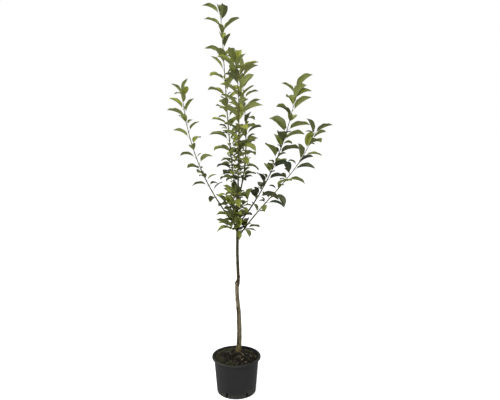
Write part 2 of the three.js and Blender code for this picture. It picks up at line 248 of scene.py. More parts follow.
# Shader groups
def shaderGroup(name, inputs, *outputs):
    # an input's kind follows from its value: a colour has four parts and a vector three
    group = bpy.data.node_groups.new(name, "ShaderNodeTree")
    for label, value in inputs.items():
        kind = "Float" if isinstance(value, float) else "Color" if len(value) == 4 else "Vector"
        socket = group.interface.new_socket(label, in_out="INPUT", socket_type="NodeSocket" + kind)
        socket.default_value = value
    for label in outputs:
        kind = "Color" if label == "Colour" else "Float"
        group.interface.new_socket(label, in_out="OUTPUT", socket_type="NodeSocket" + kind)
    spot = node(group, "TexCoord").outputs["Object"]
    given = group.nodes.new("NodeGroupInput").outputs
    return group, spot, given, group.nodes.new("NodeGroupOutput").inputs


def blotchGroup():
    # soft blotches of a second colour, and a fine grain as height
    look = {"detail": 4.0, "edge": (0.38, 0.66), "grainDetail": 3.0}
    inputs = {
        "Colour": (0.5, 0.5, 0.5, 1), "Second Colour": (0.4, 0.4, 0.4, 1),
        "Blotch Scale": 40.0, "Grain Scale": 400.0, "Amount": 0.5,
    }
    group, spot, given, result = shaderGroup("blotches", inputs, "Colour", "Height")
    blotch = ramp(group, cloud(group, spot, given["Blotch Scale"], look["detail"]), *look["edge"])
    share = maths(group, "MULTIPLY", blotch, given["Amount"])
    group.links.new(blended(group, share, given["Colour"], given["Second Colour"]), result["Colour"])
    group.links.new(cloud(group, spot, given["Grain Scale"], look["grainDetail"]), result["Height"])
    return group


def streakGroup():
    # light and dark streaks that run up a stem, darker in patches
    look = {"detail": 5.0, "groove": (0.62, 0.36), "patchDetail": 3.0, "patch": (0.42, 0.62)}
    inputs = {
        "Ridge Colour": (0.5, 0.5, 0.5, 1), "Groove Colour": (0.2, 0.2, 0.2, 1),
        "Scale": 300.0, "Length": 0.12, "Patch Scale": 30.0, "Patch Amount": 0.3,
    }
    group, spot, given, result = shaderGroup("upright streaks", inputs, "Colour", "Height")
    stretch = node(group, "CombineXYZ", {0: 1.0, 1: 1.0, 2: given["Length"]}).outputs[0]
    streak = cloud(group, vectorMaths(group, "MULTIPLY", spot, stretch), given["Scale"], look["detail"])
    patch = ramp(group, cloud(group, spot, given["Patch Scale"], look["patchDetail"]), *look["patch"])
    deep = maths(group, "MULTIPLY", patch, given["Patch Amount"])
    dark = maths(group, "MAXIMUM", ramp(group, streak, *look["groove"]), deep)
    group.links.new(blended(group, dark, given["Ridge Colour"], given["Groove Colour"]), result["Colour"])
    group.links.new(streak, result["Height"])
    return group


def dustGroup():
    # pale dust near the ground, on one side of the rim and in a patch round a given place
    look = {"cleanSide": 0.25, "scale": 70.0, "detail": 6.0, "roughness": 0.65, "edge": (0.36, 0.62)}
    inputs = {
        "Colour": (0.1, 0.1, 0.1, 1), "Dust Colour": (0.3, 0.3, 0.25, 1), "Foot Height": 0.05,
        "Rim Height": 0.19, "Rim Share": 0.8, "Clean Side": 0.06, "Dusty Side": -0.12,
        "Patch Place": (0.0, 0.0, 0.0), "Patch Size": 0.03, "Amount": 0.5,
    }
    group, spot, given, result = shaderGroup("dust", inputs, "Colour")
    split = node(group, "SeparateXYZ", {0: spot}).outputs
    low = ramp(group, split["Z"], given["Foot Height"], 0.0, interpolation_type="SMOOTHSTEP")
    above = maths(group, "GREATER_THAN", split["Z"], given["Rim Height"])
    side = ramp(group, split["X"], given["Clean Side"], given["Dusty Side"], look["cleanSide"])
    rim = maths(group, "MULTIPLY", maths(group, "MULTIPLY", above, given["Rim Share"]), side)
    away = vectorMaths(group, "DISTANCE", spot, given["Patch Place"], "Value")
    near = ramp(group, away, given["Patch Size"], 0.0)
    every = maths(group, "MAXIMUM", maths(group, "MAXIMUM", low, rim), near)
    patches = cloud(group, spot, look["scale"], look["detail"], look["roughness"])
    share = maths(group, "MULTIPLY", every, ramp(group, patches, *look["edge"]))
    amount = maths(group, "MULTIPLY", share, given["Amount"])
    group.links.new(blended(group, amount, given["Colour"], given["Dust Colour"]), result["Colour"])
    return group


zonePlanes = ("First", "Second", "Third")


def zoneGroup():
    # a tint multiplied in beyond three ragged planes; on the rootstock it paints shade as well as tinting the
    # foot
    look = {"stretch": (1.0, 1.0, 0.3), "scale": 160.0, "detail": 5.0}
    inputs = {"Colour": (0.5, 0.5, 0.5, 1), "Tint": (0.5, 0.5, 0.5, 1)}
    for label in zonePlanes:
        inputs.update({label + " Place": (0.0, 0.0, 0.0), label + " Way": (0.0, 0.0, 1.0)})
    inputs.update({"Edge": 0.003, "Ragged": 0.01})
    group, spot, given, result = shaderGroup("painted shade and tint zone", inputs, "Colour")
    drawn = vectorMaths(group, "MULTIPLY", spot, look["stretch"])
    rough = maths(group, "SUBTRACT", cloud(group, drawn, look["scale"], look["detail"]), 0.5)
    shift = maths(group, "MULTIPLY", rough, given["Ragged"])
    inside = 1.0
    for label in zonePlanes:
        away = vectorMaths(group, "SUBTRACT", spot, given[label + " Place"])
        deep = vectorMaths(group, "DOT_PRODUCT", away, given[label + " Way"], "Value")
        mask = ramp(group, maths(group, "ADD", deep, shift), 0.0, given["Edge"])
        inside = maths(group, "MINIMUM", inside, mask)
    tinted = blended(group, inside, given["Colour"], given["Tint"], blend_type="MULTIPLY")
    group.links.new(tinted, result["Colour"])
    return group


blotches = blotchGroup()
streaks = streakGroup()
dust = dustGroup()
zone = zoneGroup()


def effectNode(tree, group, values):
    # a shader group placed in a material; its colours are given without their alpha
    effect = tree.nodes.new("ShaderNodeGroup")
    effect.node_tree = group
    for key, value in values.items():
        socket = effect.inputs[key]
        socket.default_value = (*value, 1) if socket.type == "RGBA" else value
    return effect


def plainMaterial(name, roughness, specular):
    material = bpy.data.materials.new(name)
    material.use_nodes = True
    shader = material.node_tree.nodes["Principled BSDF"].inputs
    shader["Roughness"].default_value = roughness
    shader["Specular IOR Level"].default_value = specular
    return material, material.node_tree, shader


def finish(name, group, values, roughness, specular=0.5, bump=0.0, bumpDepth=0.3):
    # a material whose colour and fine relief come from a shader group
    material, tree, shader = plainMaterial(name, roughness, specular)
    effect = effectNode(tree, group, values).outputs
    tree.links.new(effect["Colour"], shader["Base Color"])
    if bump:
        inputs = {"Strength": bump, "Distance": bumpDepth * mm, "Height": effect["Height"]}
        tree.links.new(node(tree, "Bump", inputs).outputs["Normal"], shader["Normal"])
    return material


def blotchy(name, colour, second, roughness, blotch=40.0, grain=400.0, amount=0.5, **more):
    values = {
        "Colour": colour, "Second Colour": second,
        "Blotch Scale": blotch, "Grain Scale": grain, "Amount": amount,
    }
    return finish(name, blotches, values, roughness, **more)


def streaky(name, ridge, groove, roughness, scale, length, patch=30.0, patchAmount=0.3, **more):
    values = {
        "Ridge Colour": ridge, "Groove Colour": groove, "Scale": scale, "Length": length,
        "Patch Scale": patch, "Patch Amount": patchAmount,
    }
    return finish(name, streaks, values, roughness, **more)


def overlay(material, group, values):
    # an effect laid over a material's colour
    tree = material.node_tree
    base = tree.nodes["Principled BSDF"].inputs["Base Color"]
    effect = effectNode(tree, group, values)
    tree.links.new(base.links[0].from_socket, effect.inputs["Colour"])
    tree.links.new(effect.outputs["Colour"], base)


# The camera of the photograph's view, and a plain pale studio
def makeStudio():
    look = {
        "place": (0.073, -2.749, 1.466), "pitch": 81.3, "lens": 38.88, "sensor": 36,
        "sky": 0.37, "floor": (0.93, 0.93, 0.92, 1), "floorGlow": 0.71, "floorSize": 60.0,
    }
    lamps = [  # name, watts, size, place, aim
        ("key", 187, 1.5, (-2.0, -3.0, 4.3), (0, 0, 1.2)),
        ("fill", 13, 3.0, (3.2, -2.2, 2.2), (0, 0, 1.1)),
        ("back", 48, 2.5, (0.8, 3.4, 3.8), (0, 0, 1.2)),
    ]
    scene = bpy.context.scene
    camera = bpy.data.objects.new("camera", bpy.data.cameras.new("camera"))
    camera.data.lens = look["lens"]
    camera.data.sensor_width = look["sensor"]
    camera.location = look["place"]
    camera.rotation_euler = (look["pitch"] * degree, 0, 0)
    scene.collection.objects.link(camera)
    scene.camera = camera

    for name, watts, size, spot, aim in lamps:
        lamp = bpy.data.objects.new(name, bpy.data.lights.new(name, "AREA"))
        lamp.data.energy = watts
        lamp.data.size = size
        lamp.location = spot
        lamp.rotation_euler = (Vector(aim) - Vector(spot)).to_track_quat("-Z", "Y").to_euler()
        scene.collection.objects.link(lamp)

    world = bpy.data.worlds.new("studio")
    world.use_nodes = True
    tree = world.node_tree
    soft = tree.nodes["Background"]
    soft.inputs["Color"].default_value = (1, 1, 1, 1)
    soft.inputs["Strength"].default_value = look["sky"]
    seen = node(tree, "Background", {"Color": (1, 1, 1, 1), "Strength": 1.0})
    forCamera = node(tree, "LightPath").outputs["Is Camera Ray"]
    pick = node(tree, "MixShader", {0: forCamera, 1: soft.outputs[0], 2: seen.outputs[0]})
    tree.links.new(pick.outputs[0], tree.nodes["World Output"].inputs["Surface"])
    scene.world = world
    scene.view_settings.view_transform = "Standard"

    paper, tree, shader = plainMaterial("pale floor", 0.9, 0.1)
    shader["Base Color"].default_value = look["floor"]
    forCamera = node(tree, "LightPath").outputs["Is Camera Ray"]
    tree.links.new(blended(tree, forCamera, (0, 0, 0, 1), (1, 1, 1, 1)), shader["Emission Color"])
    shader["Emission Strength"].default_value = look["floorGlow"]
    half = look["floorSize"] / 2 / mm
    heap = Heap()
    heap.add([[-half, -half, 0], [half, -half, 0], [half, half, 0], [-half, half, 0]], [[0, 1, 2, 3]])
    meshPiece("floor", heap, [paper])


makeStudio()
print("studio ready")


# The pot: a turned wall with a rolled lip, a rounded foot and drain slots
pot = {
    "height": 200, "neck": 120.5, "foot": 105, "footRound": 6, "wall": 2.5, "floorDrop": 1,
    "lipRadius": 131, "lipDepth": 9, "lipRound": 3, "lipSheet": 2.2, "lipCrown": 0.7, "lipShoulder": 4,
    "lipExtra": 0.6, "lipInnerRound": 1.2, "neckRound": 2, "mouthRound": 4.5, "mouthFlat": 1,
    "stand": 2.2, "standWidth": 16, "segments": 176, "sharpAngle": 38,
    "slots": 6, "slotWidth": 10, "slotFoot": 1.2, "slotHeight": 31, "slotDepth": 16, "slotTurn": -57,
    "liningFaces": 0.4, "shadeFaces": 0.15,  # how far a face turns inwards, to take the inside's painted shade and blue reflection, or down, to take the painted shade under the foot
}


def potProfile():
    # from the middle of the underside, up the outside and over the lip, to the middle of the floor
    height, lip, neck, foot = pot["height"], pot["lipRadius"], pot["neck"], pot["foot"]
    sheet, wall, corner, edge = pot["lipSheet"], pot["wall"], pot["footRound"], pot["lipRound"]
    stand, crown, bend, fillet = pot["stand"], pot["lipCrown"], pot["mouthRound"], pot["neckRound"]
    under = height - pot["lipDepth"]
    hollow = height - sheet - pot["lipExtra"]
    tuck = pot["lipInnerRound"]
    inner = neck - wall
    flat = foot - corner
    standFrom = flat - pot["standWidth"]
    line = [(0, stand), (standFrom, stand), (standFrom + stand, 0)]
    line += arc(flat, corner, corner, -90, 0, 10)
    line += [(mix(foot, neck, t), mix(corner, hollow - fillet, t)) for t in np.linspace(0.08, 1, 24)]
    line += arc(neck + fillet, hollow - fillet, fillet, 180, 90, 4)[1:]
    line += arc(lip - sheet - tuck, hollow - tuck, tuck, 90, 0, 4)
    line += arc(lip - sheet / 2, under + sheet / 2, sheet / 2, 180, 360, 8)
    line += arc(lip - edge, height - edge - crown, edge, 0, 80, 8)
    for t in (0.35, 0.7, 1):
        radius = mix(lip - pot["lipShoulder"], inner + bend + pot["mouthFlat"], t)
        line.append((radius, height - crown * (1 - t) ** 2))
    line += arc(inner + bend, height - bend, bend, 85, 180, 9)
    for t in np.linspace(0.02, 1, 22):
        line.append((mix(inner, foot - wall, t), mix(height - bend, corner + wall, t)))
    line += arc(flat, corner + wall - pot["floorDrop"], corner - wall, 0, -90, 6)[1:]
    return line + [(flat / 2, stand + wall), (0, stand + wall)]


def slotCutter(material):
    # pegs with round tops, through the wall at the foot
    half = pot["slotWidth"] / 2
    top = pot["slotHeight"] - half
    arch = [(half * math.cos(a), top + half * math.sin(a)) for a in np.linspace(0, math.pi, 9)]
    outline = [(-half, pot["slotFoot"]), (half, pot["slotFoot"])] + arch
    reach = [pot["foot"] - pot["slotDepth"], pot["foot"] + pot["slotDepth"]]
    pegs = Heap()
    for i in range(pot["slots"]):
        turn = (pot["slotTurn"] + 360 / pot["slots"] * i) * degree
        outward = np.array([math.cos(turn), math.sin(turn), 0])
        side = np.array([-math.sin(turn), math.cos(turn), 0])
        rings = [[outward * r + side * y + [0, 0, z] for y, z in outline] for r in reach]
        middles = [outward * r + [0, 0, top / 2] for r in reach]
        pegs.add(np.concatenate([np.reshape(rings, (-1, 3)), middles]), closedFaces(2, len(outline)))
    return meshPiece("slot_cutter", pegs, [material])


def makePot():
    plasticLook = {"blotch": 9.0, "grain": 1400.0, "amount": 0.6, "bump": 0.25, "bumpDepth": 0.25}
    plastic = blotchy(
        "dark grey plastic", (0.0160, 0.0160, 0.0170), (0.0235, 0.0235, 0.0225), 0.62,
        specular=0.22, **plasticLook,
    )
    overlay(
        plastic, dust,
        {
            "Dust Colour": (0.085, 0.080, 0.060), "Foot Height": 0.04,
            "Rim Height": 0.1905, "Rim Share": 1.0, "Clean Side": 0.06, "Dusty Side": -0.11,
            "Patch Place": (0.066, -0.082, 0.024), "Patch Size": 0.034, "Amount": 0.7,
        },
    )
    # painted shade and painted reflection: the inside of the wall is darker and bluer than the outside, for
    # the shade within the pot and the blue sky it reflects
    liningPaintedReflection = blotchy(
        "inside with painted shade and blue reflection", (0.0120, 0.0125, 0.0230), (0.018, 0.018, 0.026), 0.45,
        specular=0.24, **plasticLook,
    )
    # painted shade: a near-black finish on the foot's rounded underside stands in for the contact shadow
    # under the pot
    paintedFootShade = blotchy(
        "painted shade under the foot", (0.003, 0.003, 0.003), (0.005, 0.005, 0.004), 0.9, specular=0.05
    )

    heap = Heap()
    heap.add(*lathe(potProfile(), pot["segments"]))
    piece = meshPiece("nursery_pot", heap, [plastic, liningPaintedReflection, paintedFootShade])
    cutOut(piece, slotCutter(plastic))
    piece.data.set_sharp_from_angle(angle=pot["sharpAngle"] * degree)
    low, high = pot["footRound"], pot["height"] - pot["neckRound"]
    for face in piece.data.polygons:
        x, y, z = face.center / mm
        outwards = face.normal.x * x + face.normal.y * y
        # faces that turn inwards take the inside's painted shade and blue reflection
        if outwards < -pot["liningFaces"] * math.hypot(x, y) and low < z < high:
            face.material_index = 1
        # faces on the foot that turn down take the painted shade
        elif face.normal.z < -pot["shadeFaces"] and z < low:
            face.material_index = 2
    place(piece, "pot", "pot")


makePot()
print("pot ready")


# Limbs, as in the part's own source: centre lines, radii and the growth rule
rootstock = {
    "path": [[11, 38, 208.3], [15, 37, 285], [13, 39, 410], [4.5, 38, 520], [1.5, 38, 614]],
    "radii": (13.3, 9.5), "flare": 3.2, "flareHeight": 20,
}
graft = {"corner": (-8, 38, 594), "slope": 52}
scion = {
    "path": [
        [6.5, 38, 572], [10.5, 37, 605], [8.7, 38, 665], [6, 39, 760],
        [7, 38, 860], [4.5, 38, 975], [12.5, 38, 1096],
    ],
    "radii": (8.3, 7.2), "swelling": 1, "swellingHeight": 26,
}
shoots = [
    {
        "name": "left", "curve": [[6, 38, 893], [-153, 26, 1092], [-247, 16, 1312], [-267, 10, 1578]],
        "bare": 0.25, "size": 0.84, "spacing": 1.1, "seed": 1226,
    },
    {
        "name": "right_high", "curve": [[6, 38, 905], [169, 77, 1096], [262, 110, 1325], [316, 128, 1596]],
        "bare": 0.2, "size": 1.02, "spacing": 1.05, "seed": 683,
    },
    {
        "name": "right_low", "curve": [[6.5, 38, 832], [122, -12, 1033], [319, -54, 1176], [386, -80, 1386]],
        "bare": 0.26, "size": 0.9, "spacing": 1.2, "seed": 426, "endLeaf": (56, 40),
    },
    {
        "name": "leader", "curve": [[7, 38, 1035], [-44, 27, 1330], [-49, 18, 1670], [-72, 12, 1963]],
        "bare": 0.1, "size": 1, "spacing": 1.12, "seed": 1345, "endLeaf": (48, 45),
    },
    {
        "name": "front", "curve": [[12, 38, 1088], [10, -83, 1279], [33, -187, 1499], [11, -250, 1693]],
        "bare": 0.12, "size": 0.98, "spacing": 1, "seed": 126,
    },
    {
        "name": "back", "curve": [[9, 38, 1040], [82, 144, 1263], [42, 235, 1481], [29, 290, 1706]],
        "bare": 0.13, "size": 0.98, "spacing": 1, "seed": 1468,
    },
]
shoot = {
    "foot": 4.2, "tip": 1.5, "collar": 1.4, "collarLength": 16, "end": 3,
    "first": 8, "leafFrom": 0.3, "endLeaf": (74, 26),
}
sprayKeys = ("name", "height", "length", "bearing", "lean", "seed")
sprays = [
    ("low_left", 878, 60, 228, 66, 1231), ("low_right", 862, 60, 35, 68, 531),
    ("low_back", 905, 70, 95, 60, 964), ("low_front", 930, 60, -115, 58, 1078),
    ("middle_left", 965, 75, 150, 56, 925), ("middle_right", 985, 75, -25, 56, 1354),
    ("middle_back", 1010, 65, 95, 50, 110), ("middle_front", 1035, 60, -100, 50, 984),
]
spray = {
    "foot": 2.2, "tip": 1.3, "collar": 0.6, "collarLength": 8, "end": 3,
    "first": 16, "size": 0.78, "spacing": 0.55, "endLeaf": (74, 26),
}
leaf = {"blade": 102, "halfWidth": 0.25, "outline": (0.75, 0.85, 0.331), "stalk": 17, "shortStalk": 0.75}
growth = {
    "internode": 26, "tipInternode": 17, "tipShare": 0.2, "turn": 137.5,
    "sizes": (0.84, 1, 0.93), "fullest": 0.6,
    "insertion": (36, 56), "droop": (60, 38), "fold": (26, 38),
    "sweep": 24, "roll": 32, "steepest": 78,
    "jitter": {"turn": 26, "size": 0.15, "insertion": 12, "droop": 18, "fold": 8, "step": 0.32},
}
spacing = {
    "turns": (0, 30, -30, 60, -60, 90, -90, 120, -120, 150, -150),
    "leafClear": 10.5, "limbClear": 8, "ownSide": 0.84,
    "ribMarks": (0.12, 0.32, 0.54, 0.76, 1), "edgeMarks": (0.26, 0.48, 0.7),
}


def lineOf(points):
    points = np.asarray(points, float)
    steps = np.linalg.norm(np.diff(points, axis=0), axis=1)
    lengths = np.concatenate([[0], np.cumsum(steps)])
    return {"points": points, "lengths": lengths, "length": lengths[-1]}


def bezier(corners, count=64):
    a, b, c, d = np.asarray(corners, float)
    t = np.linspace(0, 1, count + 1)[:, None]
    k = 1 - t
    return k * k * k * a + 3 * k * k * t * b + 3 * k * t * t * c + t * t * t * d


def throughPoints(corners, count=64):
    # a smooth curve through the points, with tangents set by the root of their distances
    points = np.asarray(corners, float)
    points = np.concatenate([[2 * points[0] - points[1]], points, [2 * points[-1] - points[-2]]])
    out = []
    for position in np.linspace(0, len(points) - 3, count + 1):
        i = min(int(position), len(points) - 4)
        t = position - i
        a, b, c, d = points[i : i + 4]
        before, here, after = [math.sqrt(math.dist(p, q)) for p, q in ((a, b), (b, c), (c, d))]
        start = ((b - a) / before - (c - a) / (before + here) + (c - b) / here) * here
        end = ((c - b) / here - (d - b) / (here + after) + (d - c) / after) * here
        square, cube = 3 * (c - b) - 2 * start - end, 2 * (b - c) + start + end
        out.append(b + start * t + square * t**2 + cube * t**3)
    return np.array(out)


def along(line, distance):
    points, lengths = line["points"], line["lengths"]
    i = int(np.clip(np.searchsorted(lengths, distance), 1, len(points) - 1))
    share = (distance - lengths[i - 1]) / (lengths[i] - lengths[i - 1])
    a, b = points[i - 1], points[i]
    return a + (b - a) * share, unit(b - a)


def pointsAlong(line, distances):
    return np.array([along(line, distance)[0] for distance in distances])


def heading(bearing, elevation):
    level = math.cos(elevation)
    return np.array([level * math.cos(bearing), level * math.sin(bearing), math.sin(elevation)])


def taperOf(size, length):
    def radiusAt(distance):
        even = mix(size["foot"], size["tip"], distance / length)
        return even + size["collar"] * np.exp(-distance / size["collarLength"])

    return radiusAt


def scionAxisAt(height):
    path = np.asarray(scion["path"], float)
    return np.array([np.interp(height, path[:, 2], path[:, k]) for k in range(3)])


def midribOf(shape, count=12):
    points = [shape["base"]]
    ways = [heading(shape["bearing"], shape["elevation"])]

    def wayAt(share):
        return heading(shape["bearing"] + shape["sweep"] * share, shape["elevation"] - shape["droop"] * share)

    for i in range(1, count + 1):
        points.append(points[-1] + wayAt((i - 0.5) / count) * (shape["length"] / count))
        ways.append(wayAt(i / count))
    return np.array(points), np.array(ways)


def bladeFrames(shape, midrib, shares):
    # on the midrib: the point, the way ahead, the leaf's own right and its own up
    points, ways = midrib
    spot = np.asarray(shares) * (len(points) - 1)
    i = np.minimum(len(points) - 2, np.floor(spot).astype(int))
    t = (spot - i)[:, None]
    point = points[i] + (points[i + 1] - points[i]) * t
    ahead = unit(ways[i] + (ways[i + 1] - ways[i]) * t)
    level = np.array([math.sin(shape["bearing"]), -math.cos(shape["bearing"]), 0.0])
    right = unit(level - ahead * (ahead @ level)[:, None])
    right = right * math.cos(shape["roll"]) + np.cross(ahead, right) * math.sin(shape["roll"])
    return point, ahead, right, np.cross(right, ahead)


def outlineAt(share):
    base, tip, peak = leaf["outline"]
    return share**base * (1 - share) ** tip / peak


def leafMarks(shape):
    # first the marks on the midrib, then those on the edges
    midrib = midribOf(shape)
    marks = list(bladeFrames(shape, midrib, spacing["ribMarks"])[0])
    edges = np.asarray(spacing["edgeMarks"])
    point, _, right, above = bladeFrames(shape, midrib, edges)
    half = (shape["halfWidth"] * outlineAt(edges))[:, None]
    level, lift = math.cos(shape["fold"]), math.sin(shape["fold"])
    for side in (-1, 1):
        marks += list(point + right * (side * half * level) + above * (half * lift))
    return np.array(marks)


def distances(points, others):
    return np.sqrt(((points[:, None] - others[None]) ** 2).sum(-1))


def leafShape(joint, bearing, elevation, reach, length, width, bends):
    # a leaf at a joint of its stem; its droop, sweep, roll and fold are given in degrees
    droop, sweep, roll, fold = [bend * degree for bend in bends]
    return {
        **joint, "base": joint["foot"] + heading(bearing, elevation) * reach,
        "bearing": bearing, "elevation": elevation, "length": length, "halfWidth": length * width,
        "droop": droop, "sweep": sweep, "roll": roll, "fold": fold,
    }


def sizeAt(share):
    first, middle, last = growth["sizes"]
    full = growth["fullest"]
    if share < full:
        return mix(first, middle, share / full)
    return mix(middle, last, (share - full) / (1 - full))


def growLeaves(grower, start, limbs, placed):
    random = seeded(grower["seed"])
    line, jitter = grower["line"], growth["jitter"]
    own = limbs[grower["name"]]
    others = np.concatenate([points for name, points in limbs.items() if name != grower["name"]])
    tipMark = len(spacing["ribMarks"]) - 1
    length = line["length"] - start
    leaves = []
    firstTurn = 360 * random()
    travelled = grower["first"]
    order = 0
    atEnd = False
    while not atEnd:
        atEnd = travelled > length
        travelled = min(travelled, length)
        share = travelled / length
        turn, bulk, rise, bend, tilt, veer, step = [2 * random() - 1 for _ in range(7)]
        size = sizeAt(share)
        blade = leaf["blade"] * size * grower["size"] * (1 + jitter["size"] * bulk)
        insertion = mix(*growth["insertion"], share) + jitter["insertion"] * rise
        droop = mix(*growth["droop"], share)
        if atEnd:
            insertion, droop = grower["endLeaf"]
        bends = (
            droop + jitter["droop"] * bend, growth["sweep"] * veer, growth["roll"] * tilt,
            mix(*growth["fold"], share) + jitter["fold"] * bulk,
        )
        point, ahead = along(line, start + travelled)
        joint = {"foot": point, "ahead": ahead, "distance": start + travelled, "share": share}
        reach = leaf["stalk"] * mix(leaf["shortStalk"], 1, size) + grower["radiusAt"](start + travelled)
        for extra in spacing["turns"]:
            level = heading((firstTurn + growth["turn"] * order + jitter["turn"] * turn + extra) * degree, 0)
            out = unit(level - ahead * (level @ ahead))
            way = out * math.cos(insertion * degree) + ahead * math.sin(insertion * degree)
            bearing = math.atan2(way[1], way[0])
            elevation = min(growth["steepest"] * degree, math.asin(way[2]))
            shape = leafShape(joint, bearing, elevation, reach, blade, leaf["halfWidth"], bends)
            marks = leafMarks(shape)
            offLimbs = distances(marks, others).min(1)
            if offLimbs.min() <= spacing["limbClear"]:
                continue
            if distances(marks[tipMark : tipMark + 1], own).min() >= offLimbs[tipMark] / spacing["ownSide"]:
                continue
            if placed and distances(marks, np.concatenate(placed)).min() <= spacing["leafClear"]:
                continue
            placed.append(marks)
            leaves.append(shape)
            break
        offTip = min(1, (1 - share) / growth["tipShare"])
        pace = mix(growth["tipInternode"], growth["internode"], offTip)
        travelled += pace * grower["spacing"] * (1 + jitter["step"] * step)
        order += 1
    return leaves


smallLeaf = {
    "length": (28, 54), "width": 0.27, "stalk": 9, "rise": (15, 60), "droop": (35, 65), "fold": (26, 44),
    "turns": (90, 180), "sweep": 30, "roll": 40, "clear": 6.5, "tries": 9, "seedSteps": (19, 53, 71),
    "sprayChances": [(1, 0.9), (1, 0.9)],
    "chances": {  # at the foot and at the tip of a shoot, for each round
        "left": [(0.8, 0.1)], "right_high": [(0.95, 0.45), (0.5, 0)], "right_low": [(0.95, 0.2), (0.9, -0.6)],
        "leader": [(0.95, -0.2), (0.9, -0.6), (1.2, -0.5)],
        "front": [(0.95, -0.2), (0.9, -0.6), (1.2, -0.5)], "back": [(0.95, -0.2), (0.9, -0.6), (1.2, -0.5)],
    },
}


def growSmallLeaves(grower, chance, limbs, placed, seedStep):
    # small leaves open beside the full ones, most of them low down
    random = seeded(grower["seed"] + seedStep)
    others = np.concatenate([points for name, points in limbs.items() if name != grower["name"]])
    made = []
    for shape in grower["leaves"]:
        if random() > mix(*chance, shape["share"]):
            continue
        for _ in range(smallLeaf["tries"]):
            bearing = shape["bearing"] + byChance(random, *smallLeaf["turns"]) * degree
            elevation = mix(*smallLeaf["rise"], random()) * degree
            length = mix(*smallLeaf["length"], random())
            reach = smallLeaf["stalk"] + grower["radiusAt"](shape["distance"])
            bends = (
                mix(*smallLeaf["droop"], random()), smallLeaf["sweep"] * (random() - 0.5),
                smallLeaf["roll"] * (random() - 0.5), mix(*smallLeaf["fold"], random()),
            )
            small = leafShape(shape, bearing, elevation, reach, length, smallLeaf["width"], bends)
            marks = leafMarks(small)
            offLimbs = distances(marks, others).min()
            if min(offLimbs, distances(marks, np.concatenate(placed)).min()) > smallLeaf["clear"]:
                placed.append(marks)
                made.append(small)
                break
    return made


def growerOf(shared, own, line):
    return {**shared, **own, "line": line, "radiusAt": taperOf(shared, line["length"]), "small": []}


def growTree():
    # every centre line comes before the leaves, which keep clear of all of them
    shootGrowers = [growerOf(shoot, own, lineOf(bezier(own["curve"]))) for own in shoots]
    sprayGrowers = []
    for values in sprays:
        own = dict(zip(sprayKeys, values))
        foot = scionAxisAt(own["height"])
        tip = foot + heading(own["bearing"] * degree, (90 - own["lean"]) * degree) * own["length"]
        sprayGrowers.append(growerOf(spray, own, lineOf(np.linspace(foot, tip, 9))))
    low, high = scion["path"][0][2], scion["path"][-1][2]
    limbs = {"trunk": np.array([scionAxisAt(z) for z in np.linspace(low, high, 60)])}
    for grower in shootGrowers + sprayGrowers:
        limbs[grower["name"]] = grower["line"]["points"]
    placed = []
    for grower in shootGrowers + sprayGrowers:
        bare = "bare" in grower
        grower["start"] = grower["bare"] * grower["line"]["length"] + grower["leafFrom"] if bare else 0
        grower["leaves"] = growLeaves(grower, grower["start"], limbs, placed)
    for order, seedStep in enumerate(smallLeaf["seedSteps"]):
        for grower in sprayGrowers + shootGrowers:
            chances = smallLeaf["chances"].get(grower["name"], smallLeaf["sprayChances"])
            for chance in chances[order : order + 1]:
                grower["small"] += growSmallLeaves(grower, chance, limbs, placed, seedStep)
    return shootGrowers, sprayGrowers


shootGrowers, sprayGrowers = growTree()
print("leaves:", sum(len(g["leaves"]) for g in shootGrowers + sprayGrowers))
print("small leaves:", sum(len(g["small"]) for g in shootGrowers + sprayGrowers))


# Leaves: an arched, folded blade with a toothed edge, side veins and a raised midrib, on a thin stalk
leafLook = {
    "bow": 20,
    "full": {
        "columns": (0.25, 0.45, 0.65, 0.84, 1), "veins": 8,
        "rows": (0.3, 0.55, 0.8), "teeth": (0, 0, 1, 0, 1),
    },
    "small": {"columns": (0.3, 0.58, 0.84, 1), "veins": 6, "rows": (0.4, 0.75), "teeth": (0, 0, 1, 0)},
    "thickness": (0.6, 0.42), "leastHalf": 0.7, "narrowTip": 0.3, "narrowFrom": 0.78,
    "rib": (0.95, 0.35), "ribRaise": 1.0, "ribEdge": 0.4, "ribTip": 0.2, "widestRib": 0.16, "groove": 0.3,
    "veinEnds": (0.05, 0.92), "veinWidth": 0.07, "bulge": (0.04, 0.3),
    "veinLean": 0.18, "veinCurve": 0.05, "veinHeight": 0.9, "veinRidge": 0.25, "tightest": 0.25,
    "waves": (1.6, 3.0), "waveHeight": 1.7, "tooth": 0.6, "toothLean": 0.5,
    "stalkRadius": 0.8, "stalkFoot": 1.35, "stalkFlare": 9, "stalkSides": 7, "stalkSag": 0.05,
    "stalkEnds": (0.4, 2.5),
    "darkTips": 0.4, "darkTipFrom": 0.9, "seedStep": 7,
    "widths": {"right_high": 1.2, "left": 0.97, "leader": 0.95, "front": 0.93, "back": 0.93, "sprays": 1.12},
}
upperTones = [  # painted light and shade, together with the leaves' own age: from the brightest, lit leaves at the tips to the darkest, in shade inside the crown
    ((0.285, 0.315, 0.045), (0.235, 0.270, 0.038)),
    ((0.205, 0.232, 0.038), (0.165, 0.195, 0.032)),
    ((0.145, 0.168, 0.032), (0.115, 0.138, 0.027)),
    ((0.098, 0.116, 0.027), (0.076, 0.092, 0.023)),
    ((0.058, 0.072, 0.022), (0.044, 0.056, 0.018)),
    ((0.028, 0.042, 0.020), (0.020, 0.031, 0.016)),
]
underTones = [
    ((0.215, 0.240, 0.070), (0.175, 0.200, 0.058)),
    ((0.120, 0.140, 0.050), (0.095, 0.112, 0.042)),
    ((0.052, 0.068, 0.034), (0.040, 0.053, 0.028)),
]
ribTones = [((0.32, 0.34, 0.11), (0.26, 0.28, 0.09)), ((0.13, 0.15, 0.055), (0.10, 0.115, 0.045))]
